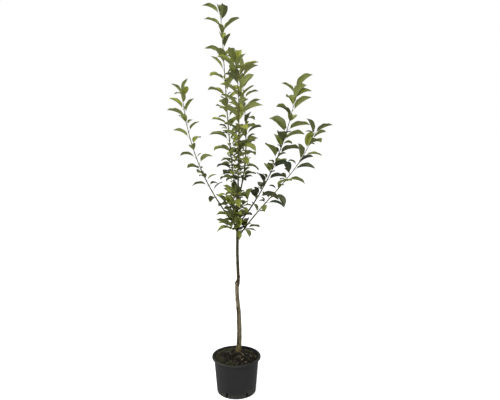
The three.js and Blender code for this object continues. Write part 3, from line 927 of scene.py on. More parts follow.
stalkTones = [((0.15, 0.155, 0.06), (0.13, 0.10, 0.06)), ((0.075, 0.060, 0.042), (0.060, 0.043, 0.034))]
# painted light and shade of the crown, laid into the leaves' tones: lighter high up, at the tips and on the
# outside, with a random spread
crownLight = {
    "base": 0.37, "height": 0.40, "heights": (880, 1500), "tip": 0.1, "spread": (0.7, 0.62),
    "axis": (7, 38), "outside": 0.1, "distances": (20, 260), "darkStalks": 0.45,
    # painted light and shade for whole shoots: right_low, hanging low in the crown, is the darkest
    "shades": {"right_low": -0.32, "right_high": -0.07, "left": 0.04, "sprays": 0.18},
}


def leafMaterials():
    # lit and darker copies of each finish, for painted light and shade, in the order in which toneOf counts
    # them
    kinds = [
        ("leaf top painted light", upperTones, 0.5, {"blotch": 45.0, "grain": 900.0, "specular": 0.28, "bump": 0.12}),
        ("leaf underside painted light", underTones, 0.7, {"blotch": 60.0, "specular": 0.2}),
        ("midrib", ribTones, 0.5, {"blotch": 80.0}),
        ("stalk", stalkTones, 0.5, {"blotch": 120.0}),
    ]
    return [
        blotchy(f"{name} {i + 1}", *pair, roughness, **values)
        for name, tones, roughness, values in kinds
        for i, pair in enumerate(tones)
    ]


def bladeRows(detail):
    # rows of points start along the midrib: two bound each side vein, and the rest lie between veins
    low, high = leafLook["veinEnds"]
    veins = detail["veins"]
    step = (high - low) / veins
    parts = (0, leafLook["veinWidth"], *detail["rows"])
    ofVeins = [low + step * (i + part) for i in range(veins) for part in parts]
    starts = [0, *ofVeins, high, mix(high, 1, 0.5), 1]
    between = [0] + [max(0, part - parts[1]) / (1 - parts[1]) for part in parts] * veins + [0, 0, 0]
    teeth = [0, *(detail["teeth"] * veins), 0, 0, 0]
    onVein = [False] + ([True] + [False] * (len(parts) - 1)) * veins + [False, False]
    return [np.array(values) for values in (starts, between, teeth, onVein)]


def bladeMesh(shape, random, tones, detail):
    look = leafLook
    upper, under, rib, upperVein, underVein = tones
    s, between, teeth, onVein = bladeRows(detail)
    scale = shape["length"] / leaf["blade"]

    def halfAt(share):
        narrower = 1 - look["narrowTip"] * smoothstep(look["narrowFrom"], 1, share)
        return np.maximum(shape["halfWidth"] * outlineAt(share) * narrower, look["leastHalf"] * scale**0.5)

    ribShare = np.minimum(mix(*look["rib"], s) * math.sqrt(scale) / halfAt(s), look["widestRib"])
    outer = np.array(detail["columns"])
    halfColumns = np.concatenate([ribShare[:, None], np.broadcast_to(outer, (len(s), len(outer)))], 1)
    across = np.concatenate([-halfColumns[:, ::-1], np.zeros((len(s), 1)), halfColumns], 1)
    width, side = np.abs(across), np.sign(across)

    # each row leans forward from the midrib to the edge, as the side veins do
    lean = outlineAt(s)[:, None] * (look["veinLean"] * width + look["veinCurve"] * width**3)
    share = np.minimum(s[:, None] + lean, 1 - look["tightest"] * (1 - s[:, None]))
    frames = bladeFrames(shape, midribOf(shape, 48), share.ravel())
    point, ahead, right, above = [part.reshape(*share.shape, 3) for part in frames]
    half = halfAt(share)

    bow = look["bow"] * degree
    steep = shape["fold"] + bow
    slope = steep - 2 * bow * width
    x = half * (math.sin(steep) - np.sin(slope)) / (2 * bow)
    z = half * (np.cos(slope) - math.cos(steep)) / (2 * bow)

    grown = np.sin(np.pi * s)[:, None]
    bulge = (1 - (2 * between - 1) ** 2)[:, None]
    z = z + look["veinHeight"] * scale * bulge * smoothstep(*look["bulge"], width) * (1 - width**6) * grown
    for sign in (-1, 1):
        waves, phase = mix(*look["waves"], random()), random()
        wave = look["waveHeight"] * scale * np.sin(2 * np.pi * (waves * share + phase)) * width**2 * grown
        z = z + np.where(side == sign, wave, 0)
    toothed = teeth[:, None] * (width > 0.99) * np.minimum(grown * 3, 1)
    x = x + look["tooth"] * scale * toothed
    forward = look["toothLean"] * scale * toothed

    thick = mix(*look["thickness"], width) * scale**0.3
    raised = np.where(width == 0, 1.0, np.where(width <= ribShare[:, None], look["ribEdge"], 0.0))
    ribTaper = mix(1, look["ribTip"], s)[:, None]
    ribDrop = look["ribRaise"] * raised * ribTaper * scale**0.5
    veinDrop = look["veinRidge"] * (between == 0)[:, None] * (1 - width) * (width > 0) * scale**0.5
    groove = look["groove"] * (width == 0) * ribTaper * scale**0.5
    middleSheet = point + right * (side * x)[..., None] + ahead * forward[..., None]
    top = middleSheet + above * (z + thick / 2 - groove)[..., None]
    bottom = middleSheet + above * (z - thick / 2 - ribDrop - veinDrop)[..., None]
    rings = np.concatenate([bottom[:, ::-1], top], 1)

    columns = across.shape[1]
    ringSize = 2 * columns
    middle = columns // 2
    faces = gridFaces(len(s), ringSize)
    tone = np.full((len(s) - 1, ringSize), under)
    tone[:, columns:] = upper
    tone[onVein, 1 : columns - 2] = underVein
    tone[onVein, columns + 1 : ringSize - 2] = upperVein
    tone[:, [middle - 1, middle, columns + middle - 1, columns + middle]] = rib
    if random() < look["darkTips"]:
        tone[s[:-1] > look["darkTipFrom"]] = len(upperTones) - 1
    c = np.arange(columns - 1)
    lower, upperIndex = columns - 1 - c, columns + c
    cap = np.stack([lower - 1, lower, upperIndex, upperIndex + 1], -1)
    last = (len(s) - 1) * ringSize
    faces = np.concatenate([faces, cap[:, ::-1], cap + last])
    return rings.reshape(-1, 3), faces, np.concatenate([tone.ravel(), np.full(2 * len(cap), upper)])


def stalkMesh(shape, stemRadius):
    look = leafLook
    scale = math.sqrt(shape["length"] / leaf["blade"])
    way = heading(shape["bearing"], shape["elevation"])
    inStem, inBlade = look["stalkEnds"]
    t = np.linspace(0, 1, 8)[:, None]
    end = shape["base"] + way * inBlade * scale
    begin = shape["foot"] + way * stemRadius * inStem
    sag = look["stalkSag"] * np.linalg.norm(end - begin) * np.sin(np.pi * t)
    points = begin + (end - begin) * t - np.array([0, 0, 1]) * sag
    thicker = (look["stalkFoot"] - look["stalkRadius"]) * np.exp(-t[:, 0] * look["stalkFlare"])
    return tube(points, look["stalkRadius"] * scale + thicker, look["stalkSides"])


def toneOf(shape, random, shade):
    # painted light and shade: bright at the tips and high up, mixed with dark ones low inside the crown,
    # where shade falls; leaves in deeper shade also take the darker midrib, and the darkest always the dark
    # stalk
    off = math.dist(shape["base"][:2], crownLight["axis"])
    high = float(smoothstep(*crownLight["heights"], shape["base"][2]))
    light = crownLight["base"] + crownLight["height"] * high + crownLight["tip"] * shape["share"]
    light += crownLight["outside"] * float(smoothstep(*crownLight["distances"], off)) + shade
    light += mix(*crownLight["spread"], high) * (random() - 0.5)
    count = len(upperTones)
    upper = int((1 - min(0.999, max(0, light))) * count)
    under = count + min(len(underTones) - 1, upper // 2)
    rib = count + len(underTones) + (upper > 2)
    darkStalk = random() < crownLight["darkStalks"] or upper > 3
    stalk = count + len(underTones) + len(ribTones) + darkStalk
    upperVein = upper - 1 if upper else rib
    underVein = under - 1 if under > count else rib
    return (upper, under, rib, upperVein, underVein), stalk


youngLeaf = {
    "pair": ((115, 34), (-120, 23)),  # turn from the last leaf, length
    "turnRange": 20, "rise": (62, 10), "stalk": 7, "width": 0.2, "bends": (30, 8, 5, 48),
}


def youngLeaves(grower, random):
    # two small leaves unfold beside the last one, at a shoot's tip
    look = youngLeaf
    end = grower["line"]["length"]
    tip, ahead = along(grower["line"], end)
    joint = {"foot": tip, "ahead": ahead, "distance": end, "share": 1.0}
    made = []
    for turn, length in look["pair"]:
        bearing = grower["leaves"][-1]["bearing"] + byChance(random, turn, look["turnRange"]) * degree
        elevation = byChance(random, *look["rise"]) * degree
        made.append(leafShape(joint, bearing, elevation, look["stalk"], length, look["width"], look["bends"]))
    return made


def makeLeaves(name, growers, materials, nodes):
    heap = Heap()
    for grower in growers:
        random = seeded(grower["seed"] + leafLook["seedStep"])
        young = youngLeaves(grower, random) if "bare" in grower else []
        kind = grower["name"] if "bare" in grower else "sprays"
        shade, width = crownLight["shades"].get(kind, 0), leafLook["widths"].get(kind, 1)
        for shape in grower["leaves"] + grower["small"] + young:
            shape["halfWidth"] *= width
            tones, stalk = toneOf(shape, random, shade)
            detail = leafLook["full" if shape["length"] > smallLeaf["length"][1] else "small"]
            heap.add(*bladeMesh(shape, random, tones, detail))
            points, faces = stalkMesh(shape, grower["radiusAt"](shape["distance"]))
            heap.add(points, faces, stalk)
    place(meshPiece(name, heap, materials), "foliage", *nodes)


leafFinishes = leafMaterials()
for grower in shootGrowers:
    makeLeaves("leaves_" + grower["name"], [grower], leafFinishes, ["foliage_" + grower["name"]])
makeLeaves("leaves_on_trunk", sprayGrowers, leafFinishes, ["spray_" + g["name"] for g in sprayGrowers])
print("leaves ready")


# Leafy stems: green-brown shoots with a joint and a bud at each leaf
stemLook = {
    "step": 3.2, "sides": 10, "joint": 0.6, "jointLength": 3.2, "sunk": 3.0, "slimmer": 0.89, "tip": 0.45,
    "ragged": 0.16, "tonesFrom": (0.2, 0.55), "seedStep": 31,
    "bud": 4.6, "budRadius": 1.5, "budSides": 8, "budLean": (0.9, 0.42), "budPlace": (0.75, 2.6),
    "budSize": (0.8, 0.4),  # least size, and how much chance adds
    "budProfile": ((0, 0.7), (0.18, 1.0), (0.42, 0.98), (0.68, 0.66), (0.88, 0.3), (1.0, 0.06)),
}
stemTones = [
    ((0.098, 0.098, 0.031), (0.066, 0.064, 0.021)),
    ((0.132, 0.120, 0.044), (0.084, 0.073, 0.027)),
    ((0.142, 0.127, 0.062), (0.088, 0.075, 0.034)),
    ((0.075, 0.050, 0.035), (0.052, 0.035, 0.025)),
]


def stemMesh(grower, random):
    look = stemLook
    line, length = grower["line"], grower["line"]["length"] + grower["end"]
    begin = max(0, grower["start"] - look["sunk"])
    distance = np.linspace(begin, length, int((length - begin) / look["step"]) + 1)
    radii = grower["radiusAt"](distance) * look["slimmer"]
    for shape in grower["leaves"]:
        off = (distance - shape["distance"] + 1) / look["jointLength"]
        radii = radii + look["joint"] * np.exp(-(off**2))
    radii[-1] *= look["tip"]
    points, faces = tube(pointsAlong(line, distance), radii, look["sides"])
    tones = []
    for share in (distance[:-1] - grower["start"]) / (length - grower["start"]):
        ragged = share + look["ragged"] * (random() - 0.5)
        tones += [sum(ragged >= start for start in look["tonesFrom"])] * look["sides"]
    return points, faces, np.array(tones + [0] * look["sides"] + [2] * look["sides"])


def budMesh(shape, stemRadius, scale):
    look = stemLook
    ahead, outward = look["budLean"]
    off, onward = look["budPlace"]
    out = heading(shape["bearing"], 0)
    out = unit(out - shape["ahead"] * (out @ shape["ahead"]))
    way = unit(shape["ahead"] * ahead + out * outward)
    foot = shape["foot"] + out * stemRadius * off + shape["ahead"] * onward
    t, radii = np.array(look["budProfile"]).T
    points = foot + way * (t * look["bud"] * scale)[:, None]
    return tube(points, look["budRadius"] * scale * radii, look["budSides"])


def makeStems(name, growers, materials, nodes):
    heap = Heap()
    for grower in growers:
        random = seeded(grower["seed"] + stemLook["seedStep"])
        heap.add(*stemMesh(grower, random))
        for shape in grower["leaves"]:
            scale = byChance(random, *stemLook["budSize"])
            points, faces = budMesh(shape, grower["radiusAt"](shape["distance"]), scale)
            heap.add(points, faces, len(stemTones) - 1)
    place(meshPiece(name, heap, materials), "shoot_bark", *nodes)


stemFinish = {"blotch": 150.0, "grain": 1500.0, "amount": 0.8, "specular": 0.2, "bump": 0.2}
stemFinishes = [
    blotchy(f"shoot bark {i + 1}", *pair, 0.6, **stemFinish) for i, pair in enumerate(stemTones)
]
for grower in shootGrowers:
    makeStems("stem_" + grower["name"], [grower], stemFinishes, ["foliage_" + grower["name"]])
makeStems("stems_on_trunk", sprayGrowers, stemFinishes, ["spray_" + g["name"] for g in sprayGrowers])
print("stems ready")


# The trunk and the bare boughs: one skin with the relief of young bark
barkLook = {
    "voxel": 1.4, "smoothing": 4, "sunk": 8, "rings": (90, 120), "sides": (28, 24, 18), "boughStep": 4,
    "crackDepth": 0.75, "crackWidth": 3.0, "crackLength": 9.0, "crackEdge": (0.22, 0.8), "fineShift": 50,
    "fineDepth": 0.35, "fineWidth": 0.55, "fineLength": 1.4, "fineEdge": (0.3, 0.7), "scionCracks": 0.4,
    "lump": 1.1, "lumpSize": 13, "lumpLength": 3.0, "lumpShares": (1, 0.55, 0.2),  # stock, scion, bough
    "roots": 1.7, "rootHeight": 22, "rootWaves": ((0.55, 3, 0.6), (0.45, 5, -1.1)),
    "grown": 0.5, "grownTop": 470, "grownEdge": 60, "boughGrown": 0.35,
    "lenticels": 300, "lenticelSeed": 2024, "lenticelPlaces": (620, 480), "lenticelSize": (2.6, 0.85),
    "lenticelSpread": (0.7, 0.6), "lenticelReach": 3, "lenticelRaise": 0.45, "scionRadius": 6.3,
    "jointEvery": 38, "joint": 0.55, "jointLength": 2.2, "jointSlant": 0.15,
    "callus": 2.2, "callusWidth": 5, "callusHeights": (575, 632), "callusRough": (0.6, 0.9), "callusLumps": 5,
    "cutNear": 1.3, "cutFacing": 0.6, "cutRough": 0.5, "cutLumps": 3, "stockTop": 625, "boughMargin": 0.4,
    "scar": (1018, 1070), "scarPatches": (7, 2), "scarEdge": -0.15,
    "knotRadius": 10, "knotSpread": (0.55, 0.7), "knotEye": (0.7, 8),
    "knots": [  # height, bearing from +X, size, raise
        (497, 185, 9, 2.6), (556, 20, 8, 1.5), (402, -70, 8, 1.6), (330, 130, 9, 1.4), (446, 60, 7, 1.3),
        (700, 175, 6, 1.3), (762, -20, 5, 1.2), (812, -95, 6, 1.2), (655, 60, 5, 1.1), (738, 110, 5, 1.0),
    ],
}


def graftWay():
    # square to the slanting cut of the graft
    slope = graft["slope"] * degree
    return np.array([-math.sin(slope), 0, math.cos(slope)])


def trimAtGraft(piece):
    # the rootstock ends at the slanting cut
    shell = bmesh.new()
    shell.from_mesh(piece.data)
    cut = bmesh.ops.bisect_plane(
        shell, geom=shell.verts[:] + shell.edges[:] + shell.faces[:],
        plane_co=np.array(graft["corner"], float) * mm, plane_no=graftWay(), clear_outer=True,
    )
    rim = [e for e in cut["geom_cut"] if isinstance(e, bmesh.types.BMEdge)]
    bmesh.ops.holes_fill(shell, edges=rim)
    bmesh.ops.triangulate(shell, faces=shell.faces[:])
    shell.to_mesh(piece.data)
    shell.free()


def limbsOfTrunk():
    # the points and radii along the rootstock, the scion and each bare bough
    stockRings, scionRings = barkLook["rings"]
    stock = lineOf(throughPoints(rootstock["path"]))
    distance = np.linspace(0, stock["length"], stockRings)
    radii = mix(*rootstock["radii"], distance / stock["length"])
    radii = radii + rootstock["flare"] * np.exp(-distance / rootstock["flareHeight"])
    limbs = [(pointsAlong(stock, distance), radii)]
    line = lineOf(throughPoints(scion["path"]))
    distance = np.linspace(0, line["length"], scionRings)
    radii = mix(*scion["radii"], distance / line["length"])
    lift = (distance - scion["swellingHeight"]) / scion["swellingHeight"]
    limbs.append((pointsAlong(line, distance), radii + scion["swelling"] * np.exp(-(lift**2))))
    for grower in shootGrowers:
        bare = grower["bare"] * grower["line"]["length"]
        distance = np.linspace(0, bare, max(8, int(bare / barkLook["boughStep"])))
        limbs.append((pointsAlong(grower["line"], distance), grower["radiusAt"](distance)))
    return limbs


def trunkSkin(limbs):
    # rootstock, scion and boughs melt into one closed skin
    stockSides, scionSides, boughSides = barkLook["sides"]
    points, radii = limbs[0]
    sunk = points[0] - [0, 0, barkLook["sunk"]]
    heap = Heap()
    heap.add(*tube(np.concatenate([[sunk], points]), np.concatenate([radii[:1], radii]), stockSides))
    piece = meshPiece("trunk_and_boughs", heap, [])
    trimAtGraft(piece)
    heap = Heap()
    points = [tuple(v.co / mm) for v in piece.data.vertices]
    heap.add(points, [[*p.vertices, -1] for p in piece.data.polygons])
    bpy.data.objects.remove(piece)
    for i, (points, radii) in enumerate(limbs[1:]):
        heap.add(*tube(points, radii, boughSides if i else scionSides))
    piece = meshPiece("trunk_and_boughs", heap, [])
    remesh = piece.modifiers.new("skin", "REMESH")
    remesh.mode = "VOXEL"
    remesh.voxel_size = barkLook["voxel"] * mm
    bakeModifiers(piece)
    return piece


def readAll(items, key, size=1, kind=float):
    # one property of every vertex, edge, corner or face
    values = np.empty(len(items) * size, kind)
    items.foreach_get(key, values)
    return values.reshape(-1, size) if size > 1 else values


def smoothed(mesh, rounds):
    # each point moves halfway to the middle of its neighbours, a few times over
    points = readAll(mesh.vertices, "co", 3) / mm
    count = len(points)
    a, b = readAll(mesh.edges, "vertices", 2, np.int32).T
    neighbours = np.bincount(a, minlength=count) + np.bincount(b, minlength=count)
    for _ in range(rounds):
        sums = [np.bincount(a, points[b, k], count) + np.bincount(b, points[a, k], count) for k in range(3)]
        points = points * 0.5 + np.stack(sums, -1) / neighbours[:, None] * 0.5
    return points


def turnBetween(a, b):
    return np.abs((a - b + np.pi) % (2 * np.pi) - np.pi)


def makeTrunk():
    look = barkLook
    limbs = limbsOfTrunk()
    piece = trunkSkin(limbs)
    mesh = piece.data
    points = smoothed(mesh, look["smoothing"])
    mesh.vertices.foreach_set("co", (points * mm).ravel())
    mesh.update()
    normals = readAll(mesh.vertices, "normal", 3)
    z = points[:, 2]

    # which limb each point lies on
    def offSkin(limb):
        best = np.full(len(points), np.inf)
        for p, r in zip(*limb):
            best = np.minimum(best, np.linalg.norm(points - p, axis=1) - r)
        return best

    fromStock, fromScion = offSkin(limbs[0]), offSkin(limbs[1])
    fromBoughs = np.min([offSkin(limb) for limb in limbs[2:]], axis=0)
    cutWay = graftWay()
    fromCut = np.abs((points - np.array(graft["corner"], float)) @ cutWay)
    isBough = fromBoughs < fromScion - look["boughMargin"]
    isStock = (fromStock < fromScion) & (z < look["stockTop"])
    isCut = isStock & (fromCut < look["cutNear"]) & (normals @ cutWay > look["cutFacing"])
    isScion = ~isBough & ~isStock
    axes = [np.stack([np.interp(z, limb[:, 2], limb[:, k]) for k in (0, 1)], -1) for limb, _ in limbs[:2]]
    axis = np.where(isStock[:, None], *axes)
    bearing = np.arctan2(points[:, 1] - axis[:, 1], points[:, 0] - axis[:, 0])

    # cracks, lumps and the root flare
    relief = np.zeros(len(points))
    crack = np.abs(noiseOf(points, look["crackWidth"], look["crackLength"]))
    fineSize = look["crackWidth"] * look["fineWidth"], look["crackLength"] * look["fineLength"]
    fine = np.abs(noiseOf(points + look["fineShift"], *fineSize))
    lump = noiseOf(points, look["lumpSize"], look["lumpLength"])
    rough = np.where(isStock, 1.0, look["scionCracks"])
    edge, level = look["crackEdge"]
    relief += rough * look["crackDepth"] * (smoothstep(0, edge, crack) - level)
    edge, level = look["fineEdge"]
    relief += rough * look["fineDepth"] * (smoothstep(0, edge, fine) - level)
    relief += look["grown"] * isStock * smoothstep(look["grownTop"], look["grownTop"] - look["grownEdge"], z)
    relief += look["boughGrown"] * isBough
    onStock, onScion, onBough = look["lumpShares"]
    relief += look["lump"] * lump * np.where(isBough, onBough, np.where(isStock, onStock, onScion))
    footing = np.exp(-np.maximum(z - rootstock["path"][0][2], 0) / look["rootHeight"])
    first, second = [share * np.cos(count * bearing + turn) for share, count, turn in look["rootWaves"]]
    relief += look["roots"] * footing * (first + second)

    # lenticels, joints and knots
    random = seeded(look["lenticelSeed"])
    wide, high = look["lenticelSize"]
    for _ in range(look["lenticels"]):
        height = byChance(random, *look["lenticelPlaces"])
        turn = 2 * np.pi * random() - np.pi
        spread = byChance(random, *look["lenticelSpread"])
        near = np.flatnonzero(isScion & (np.abs(z - height) < look["lenticelReach"]))
        away = turnBetween(bearing[near], turn) * look["scionRadius"]
        across, upright = away / (wide * spread), (z[near] - height) / high
        relief[near] += look["lenticelRaise"] * np.exp(-(across**2) - upright**2)
    rings = z / look["jointEvery"] + look["jointSlant"] * np.sin(bearing)
    offRing = (rings % 1 - 0.5) * look["jointEvery"] / look["jointLength"]
    relief += isScion * look["joint"] * np.exp(-(offRing**2))
    sideways, upright = look["knotSpread"]
    eye, narrow = look["knotEye"]
    for height, turn, size, rise in look["knots"]:
        away = turnBetween(bearing, turn * degree) * look["knotRadius"]
        spread = (away / (size * sideways)) ** 2 + ((z - height) / (size * upright)) ** 2
        relief += rise * np.exp(-spread) * ~isBough - rise * eye * np.exp(-spread * narrow) * ~isBough

    # the callus round the graft, and the flat old cut
    low, high = look["callusHeights"]
    callus = np.exp(-((fromCut / look["callusWidth"]) ** 2)) * (z > low) * (z < high) * ~isCut
    even, uneven = look["callusRough"]
    relief += look["callus"] * callus * (even + uneven * noiseOf(points, look["callusLumps"]))
    relief = np.where(isCut, look["cutRough"] * noiseOf(points, look["cutLumps"]), relief)
    points = points + normals * relief[:, None]
    mesh.vertices.foreach_set("co", (points * mm).ravel())

    # the finish of each face, by its first corner
    low, high = look["scar"]
    front = points[:, 1] < graft["corner"][1]
    patches = noiseOf(points, *look["scarPatches"]) > look["scarEdge"]
    scar = isScion & (z > low) & (z < high) & front & patches
    kind = np.select([isCut, isBough, isStock, scar], [3, 2, 0, 4], 1)
    corners = readAll(mesh.loops, "vertex_index", 1, np.int32)
    first = corners[readAll(mesh.polygons, "loop_start", 1, np.int32)]
    for material in barkMaterials():
        mesh.materials.append(material)
    mesh.polygons.foreach_set("material_index", kind[first].astype(np.int32))
    mesh.polygons.foreach_set("use_smooth", np.ones(len(mesh.polygons), bool))
    mesh.update()
    place(piece, "trunk_bark", "trunk", *["bough_" + g["name"] for g in shootGrowers])


def barkMaterials():
    finishes = [
        streaky(
            "rootstock bark", (0.286, 0.243, 0.136), (0.050, 0.039, 0.020), 0.85, 300.0, 0.1,
            patch=48.0, patchAmount=0.6, bump=0.6, bumpDepth=0.5,
        ),
        streaky(
            "scion bark", (0.074, 0.057, 0.019), (0.013, 0.0095, 0.0036), 0.75, 340.0, 0.3,
            patch=34.0, patchAmount=0.4, specular=0.25, bump=0.4, bumpDepth=0.4,
        ),
        streaky(
            "bough bark", (0.070, 0.072, 0.021), (0.035, 0.034, 0.010), 0.65, 420.0, 0.4,
            specular=0.2, bump=0.3, bumpDepth=0.3,
        ),
        streaky(
            "old cut wood", (0.022, 0.018, 0.012), (0.008, 0.006, 0.004), 0.9, 500.0, 0.8,
            bump=0.4, bumpDepth=0.4,
        ),
        streaky(
            "pinkish scar", (0.160, 0.095, 0.066), (0.060, 0.038, 0.027), 0.7, 300.0, 0.3,
            bump=0.3, bumpDepth=0.3,
        ),
    ]
    shadeAndTintZones = [  # on the rootstock: painted shade on the left side, a painted shadow under the graft's cut, and an olive tint at the foot; each with a tint, edge, and a place and a way for each plane
        # painted shade: the rootstock's left side, from 250 to 462 mm up, darker as if turned away from the
        # light
        (
            (0.30, 0.25, 0.17), 2.5,
            ((10.2, 38, 0), (-1, -0.25, 0)), ((0, 0, 462), (0, 0, -1)), ((0, 0, 250), (0, 0, 1)),
        ),
        # painted shadow: a dark band on the rootstock just under the graft's slanting cut
        ((0.10, 0.10, 0.09), 1.5, ((-8, 38, 584), graftWay()), ((0, 0, 578), (0, 0, 1))),
        ((0.85, 0.80, 0.48), 10, ((0, 0, 246), (0, 0, -1))),
    ]
    for tint, edge, *planes in shadeAndTintZones:
        values = {"Tint": tint, "Edge": edge * mm, "Ragged": 0.012}
        for label, (spot, way) in zip(zonePlanes, planes):
            values.update({label + " Place": Vector(spot) * mm, label + " Way": Vector(way)})
        overlay(finishes[0], zone, values)
    return finishes


makeTrunk()
print("trunk ready")


# Potting soil: a heap with lumps and crumbs, bark chips, moss, a twig and bare roots
soil = {
    "edge": 194.5, "tilt": (-3.2, -2.4), "room": 0.35, "bottom": 5.0, "recess": 9, "recessHeight": 48,
    "trunk": 208, "seat": (11, 38), "seatRadius": 21, "mound": 2.5, "moundWidth": 24, "offTrunk": 15,
    "columns": 216, "rows": 60, "lumps": [(15, 2.0), (6, 1.4), (2.6, 0.8)],
    "olive": (-35, -95, 0.5),  # from where, to where, and how far the loose tones turn olive and grey
    "looseTones": (0, 1, 7, 2, 3, 7), "looseShares": (0.53, 0.82, 0.87, 0.90, 0.955),
}
soilTones = [
    ((0.0070, 0.0068, 0.0048), (0.0145, 0.0135, 0.0092)),  # 0 dark peat
    ((0.0260, 0.0230, 0.0150), (0.0160, 0.0145, 0.0096)),  # 1 brown peat
    ((0.085, 0.062, 0.046), (0.054, 0.040, 0.030)),  # 2 bark
    ((0.098, 0.094, 0.050), (0.058, 0.058, 0.031)),  # 3 dry moss
    ((0.270, 0.225, 0.165), (0.180, 0.146, 0.105)),  # 4 pale wood
    ((0.050, 0.060, 0.024), (0.080, 0.084, 0.036)),  # 5 green moss
    ((0.170, 0.090, 0.038), (0.105, 0.058, 0.028)),  # 6 reddish bark
    ((0.115, 0.118, 0.092), (0.070, 0.073, 0.056)),  # 7 grey grit
]


def soilWall(height):
    # the inside of the pot's wall at a height, less a little room
    floor = pot["footRound"] + pot["wall"]
    share = (height - floor) / (pot["height"] - floor)
    return mix(pot["foot"], pot["neck"], share) - pot["wall"] - soil["room"]


def surfaceAt(xy, share):
    # the height at places a share of the way from the wall to the trunk's seat: the edge is a little
    # higher at the front and on the left, and a low mound lies round the trunk
    tiltX, tiltY = soil["tilt"]
    edge = soil["edge"] + (tiltX * xy[:, 0] + tiltY * xy[:, 1]) / soilWall(soil["edge"])
    away = np.linalg.norm(xy - np.array(soil["seat"]), axis=1)
    mound = soil["mound"] * np.exp(-((away / soil["moundWidth"]) ** 2))
    flat = np.concatenate([xy, np.zeros((len(xy), 1))], 1)
    lumps = np.zeros(len(xy))
    for size, height in soil["lumps"]:
        lumps += height * noiseOf(flat + size, size)
    return mix(edge, soil["trunk"], smoothstep(0, 1, share)) + mound + lumps


def soilHeight(xy):
    # the height at any places: halving finds how far each lies from the wall to the seat
    xy = np.asarray(xy, float)
    seat, wall = np.array(soil["seat"]), soilWall(soil["edge"])
    low, high = np.zeros(len(xy)), np.ones(len(xy))
    for _ in range(24):
        t = (low + high) / 2
        inside = np.linalg.norm(xy - seat * t[:, None], axis=1) < mix(wall, soil["seatRadius"], t)
        low, high = np.where(inside, t, low), np.where(inside, high, t)
    return surfaceAt(xy, low)


def makeSoilBed(materials):
    wall, seat = soilWall(soil["edge"]), np.array(soil["seat"])
    angle = turnsOf(soil["columns"])
    circle = np.stack([np.cos(angle), np.sin(angle)], -1)
    inset, high = soilWall(14) - soil["recess"], soil["recessHeight"]
    below = [  # radius and height of the rings under the surface
        (inset - 4, soil["bottom"]), (inset, 15), (soilWall(high) - soil["recess"], high),
        (soilWall(high + 14), high + 14), (soilWall(140), 140), (wall - 0.1, soil["edge"] - 8),
    ]
    rings = [np.concatenate([circle * radius, np.full((len(circle), 1), z)], 1) for radius, z in below]
    for t in [*np.linspace(0, 1, soil["rows"]), 1.1, 1.2]:
        flat = seat * min(t, 1) + circle * max(2, mix(wall, soil["seatRadius"], t))
        rings.append(np.concatenate([flat, surfaceAt(flat, t)[:, None]], 1))
    heap = Heap()
    middles = [[0, 0, soil["bottom"]], rings[-1].mean(0)]
    heap.add(np.concatenate([*rings, middles]), closedFaces(len(rings), soil["columns"]))
    place(meshPiece("soil_bed", heap, materials[:1]), "soil", "soil")


def ballShape(level):
    # a ball to make crumbs of
    ball = bmesh.new()
    bmesh.ops.create_icosphere(ball, subdivisions=level, radius=1)
    points = np.array([v.co[:] for v in ball.verts])
    faces = np.array([[v.index for v in f.verts] + [-1] for f in ball.faces])
    ball.free()
    return points, faces


smallBall, largeBall = ballShape(1), ballShape(2)


def ragged(points, amount, random):
    # each point drawn in or out by chance
    draws = np.array([random() for _ in range(len(points))])
    return points * (1 + amount * (draws - 0.5))[:, None]


def anyTurns(random):
    return [2 * math.pi * random() for _ in range(3)]


def turned(points, angles):
    a, b, c = angles
    spin = np.array([[math.cos(a), -math.sin(a), 0], [math.sin(a), math.cos(a), 0], [0, 0, 1]])
    tip = np.array([[1, 0, 0], [0, math.cos(b), -math.sin(b)], [0, math.sin(b), math.cos(b)]])
    roll = np.array([[math.cos(c), 0, math.sin(c)], [0, 1, 0], [-math.sin(c), 0, math.cos(c)]])
    return points @ (spin @ tip @ roll).T


def scatter(random, count, margin):
    # places on the soil, off the wall and the trunk
    limit = soilWall(soil["edge"]) - margin
    seatX, seatY = soil["seat"]
    out = []
    while len(out) < count:
        x, y = (2 * random() - 1) * limit, (2 * random() - 1) * limit
        if math.hypot(x, y) < limit and math.hypot(x - seatX, y - seatY) > soil["offTrunk"]:
            out.append((x, y))
    return np.array(out)


mossLook = {
    "seed": 91, "blades": 2600, "tries": 40000, "margin": 6, "thin": 0.75, "sunk": 0.6, "lean": 1.6,
    "third": 2.0944, "tall": (2.2, 3.2), "wide": (0.55, 0.35),  # least size, and how much chance adds
    "tones": (5, 3), "green": 0.6, "onCrumbs": (0.3, 0.5),
    "patches": [  # x, y, radius
        (-101, 2, 16), (-97, -33, 24), (-80, -66, 26), (-30, 78, 26), (-62, 66, 20), (-88, 34, 18),
        (72, 50, 20), (-30, -92, 24), (96, 4, 12), (10, 84, 16),
    ],
}


def mossAt(xy):
    # how mossy the soil is at places
    share = np.zeros(len(xy))
    for x, y, size in mossLook["patches"]:
        share = np.maximum(share, 1 - np.linalg.norm(xy - [x, y], axis=1) / size)
    return share


def looseTone(pick, x=0.0):
    # which tone a crumb takes: more olive and grey ones on the left
    low, high, most = soil["olive"]
    pick += most * float(smoothstep(low, high, x)) * (1 - pick)
    return soil["looseTones"][sum(pick > share for share in soil["looseShares"])]


crumb = {"seed": 77, "fine": 2, "flat": ((0.6, 0.4), (0.5, 0.4)), "lift": 0.25}
crumbLooks = [
    {
        "name": "soil_crumbs", "ball": smallBall, "count": 2600,
        "sizes": (0.9, 2.4), "ragged": 0.5, "margin": 1.5,
    },
    {
        "name": "soil_clods", "ball": largeBall, "count": 360,
        "sizes": (2.2, 5.0), "ragged": 0.34, "margin": 5,
    },
]


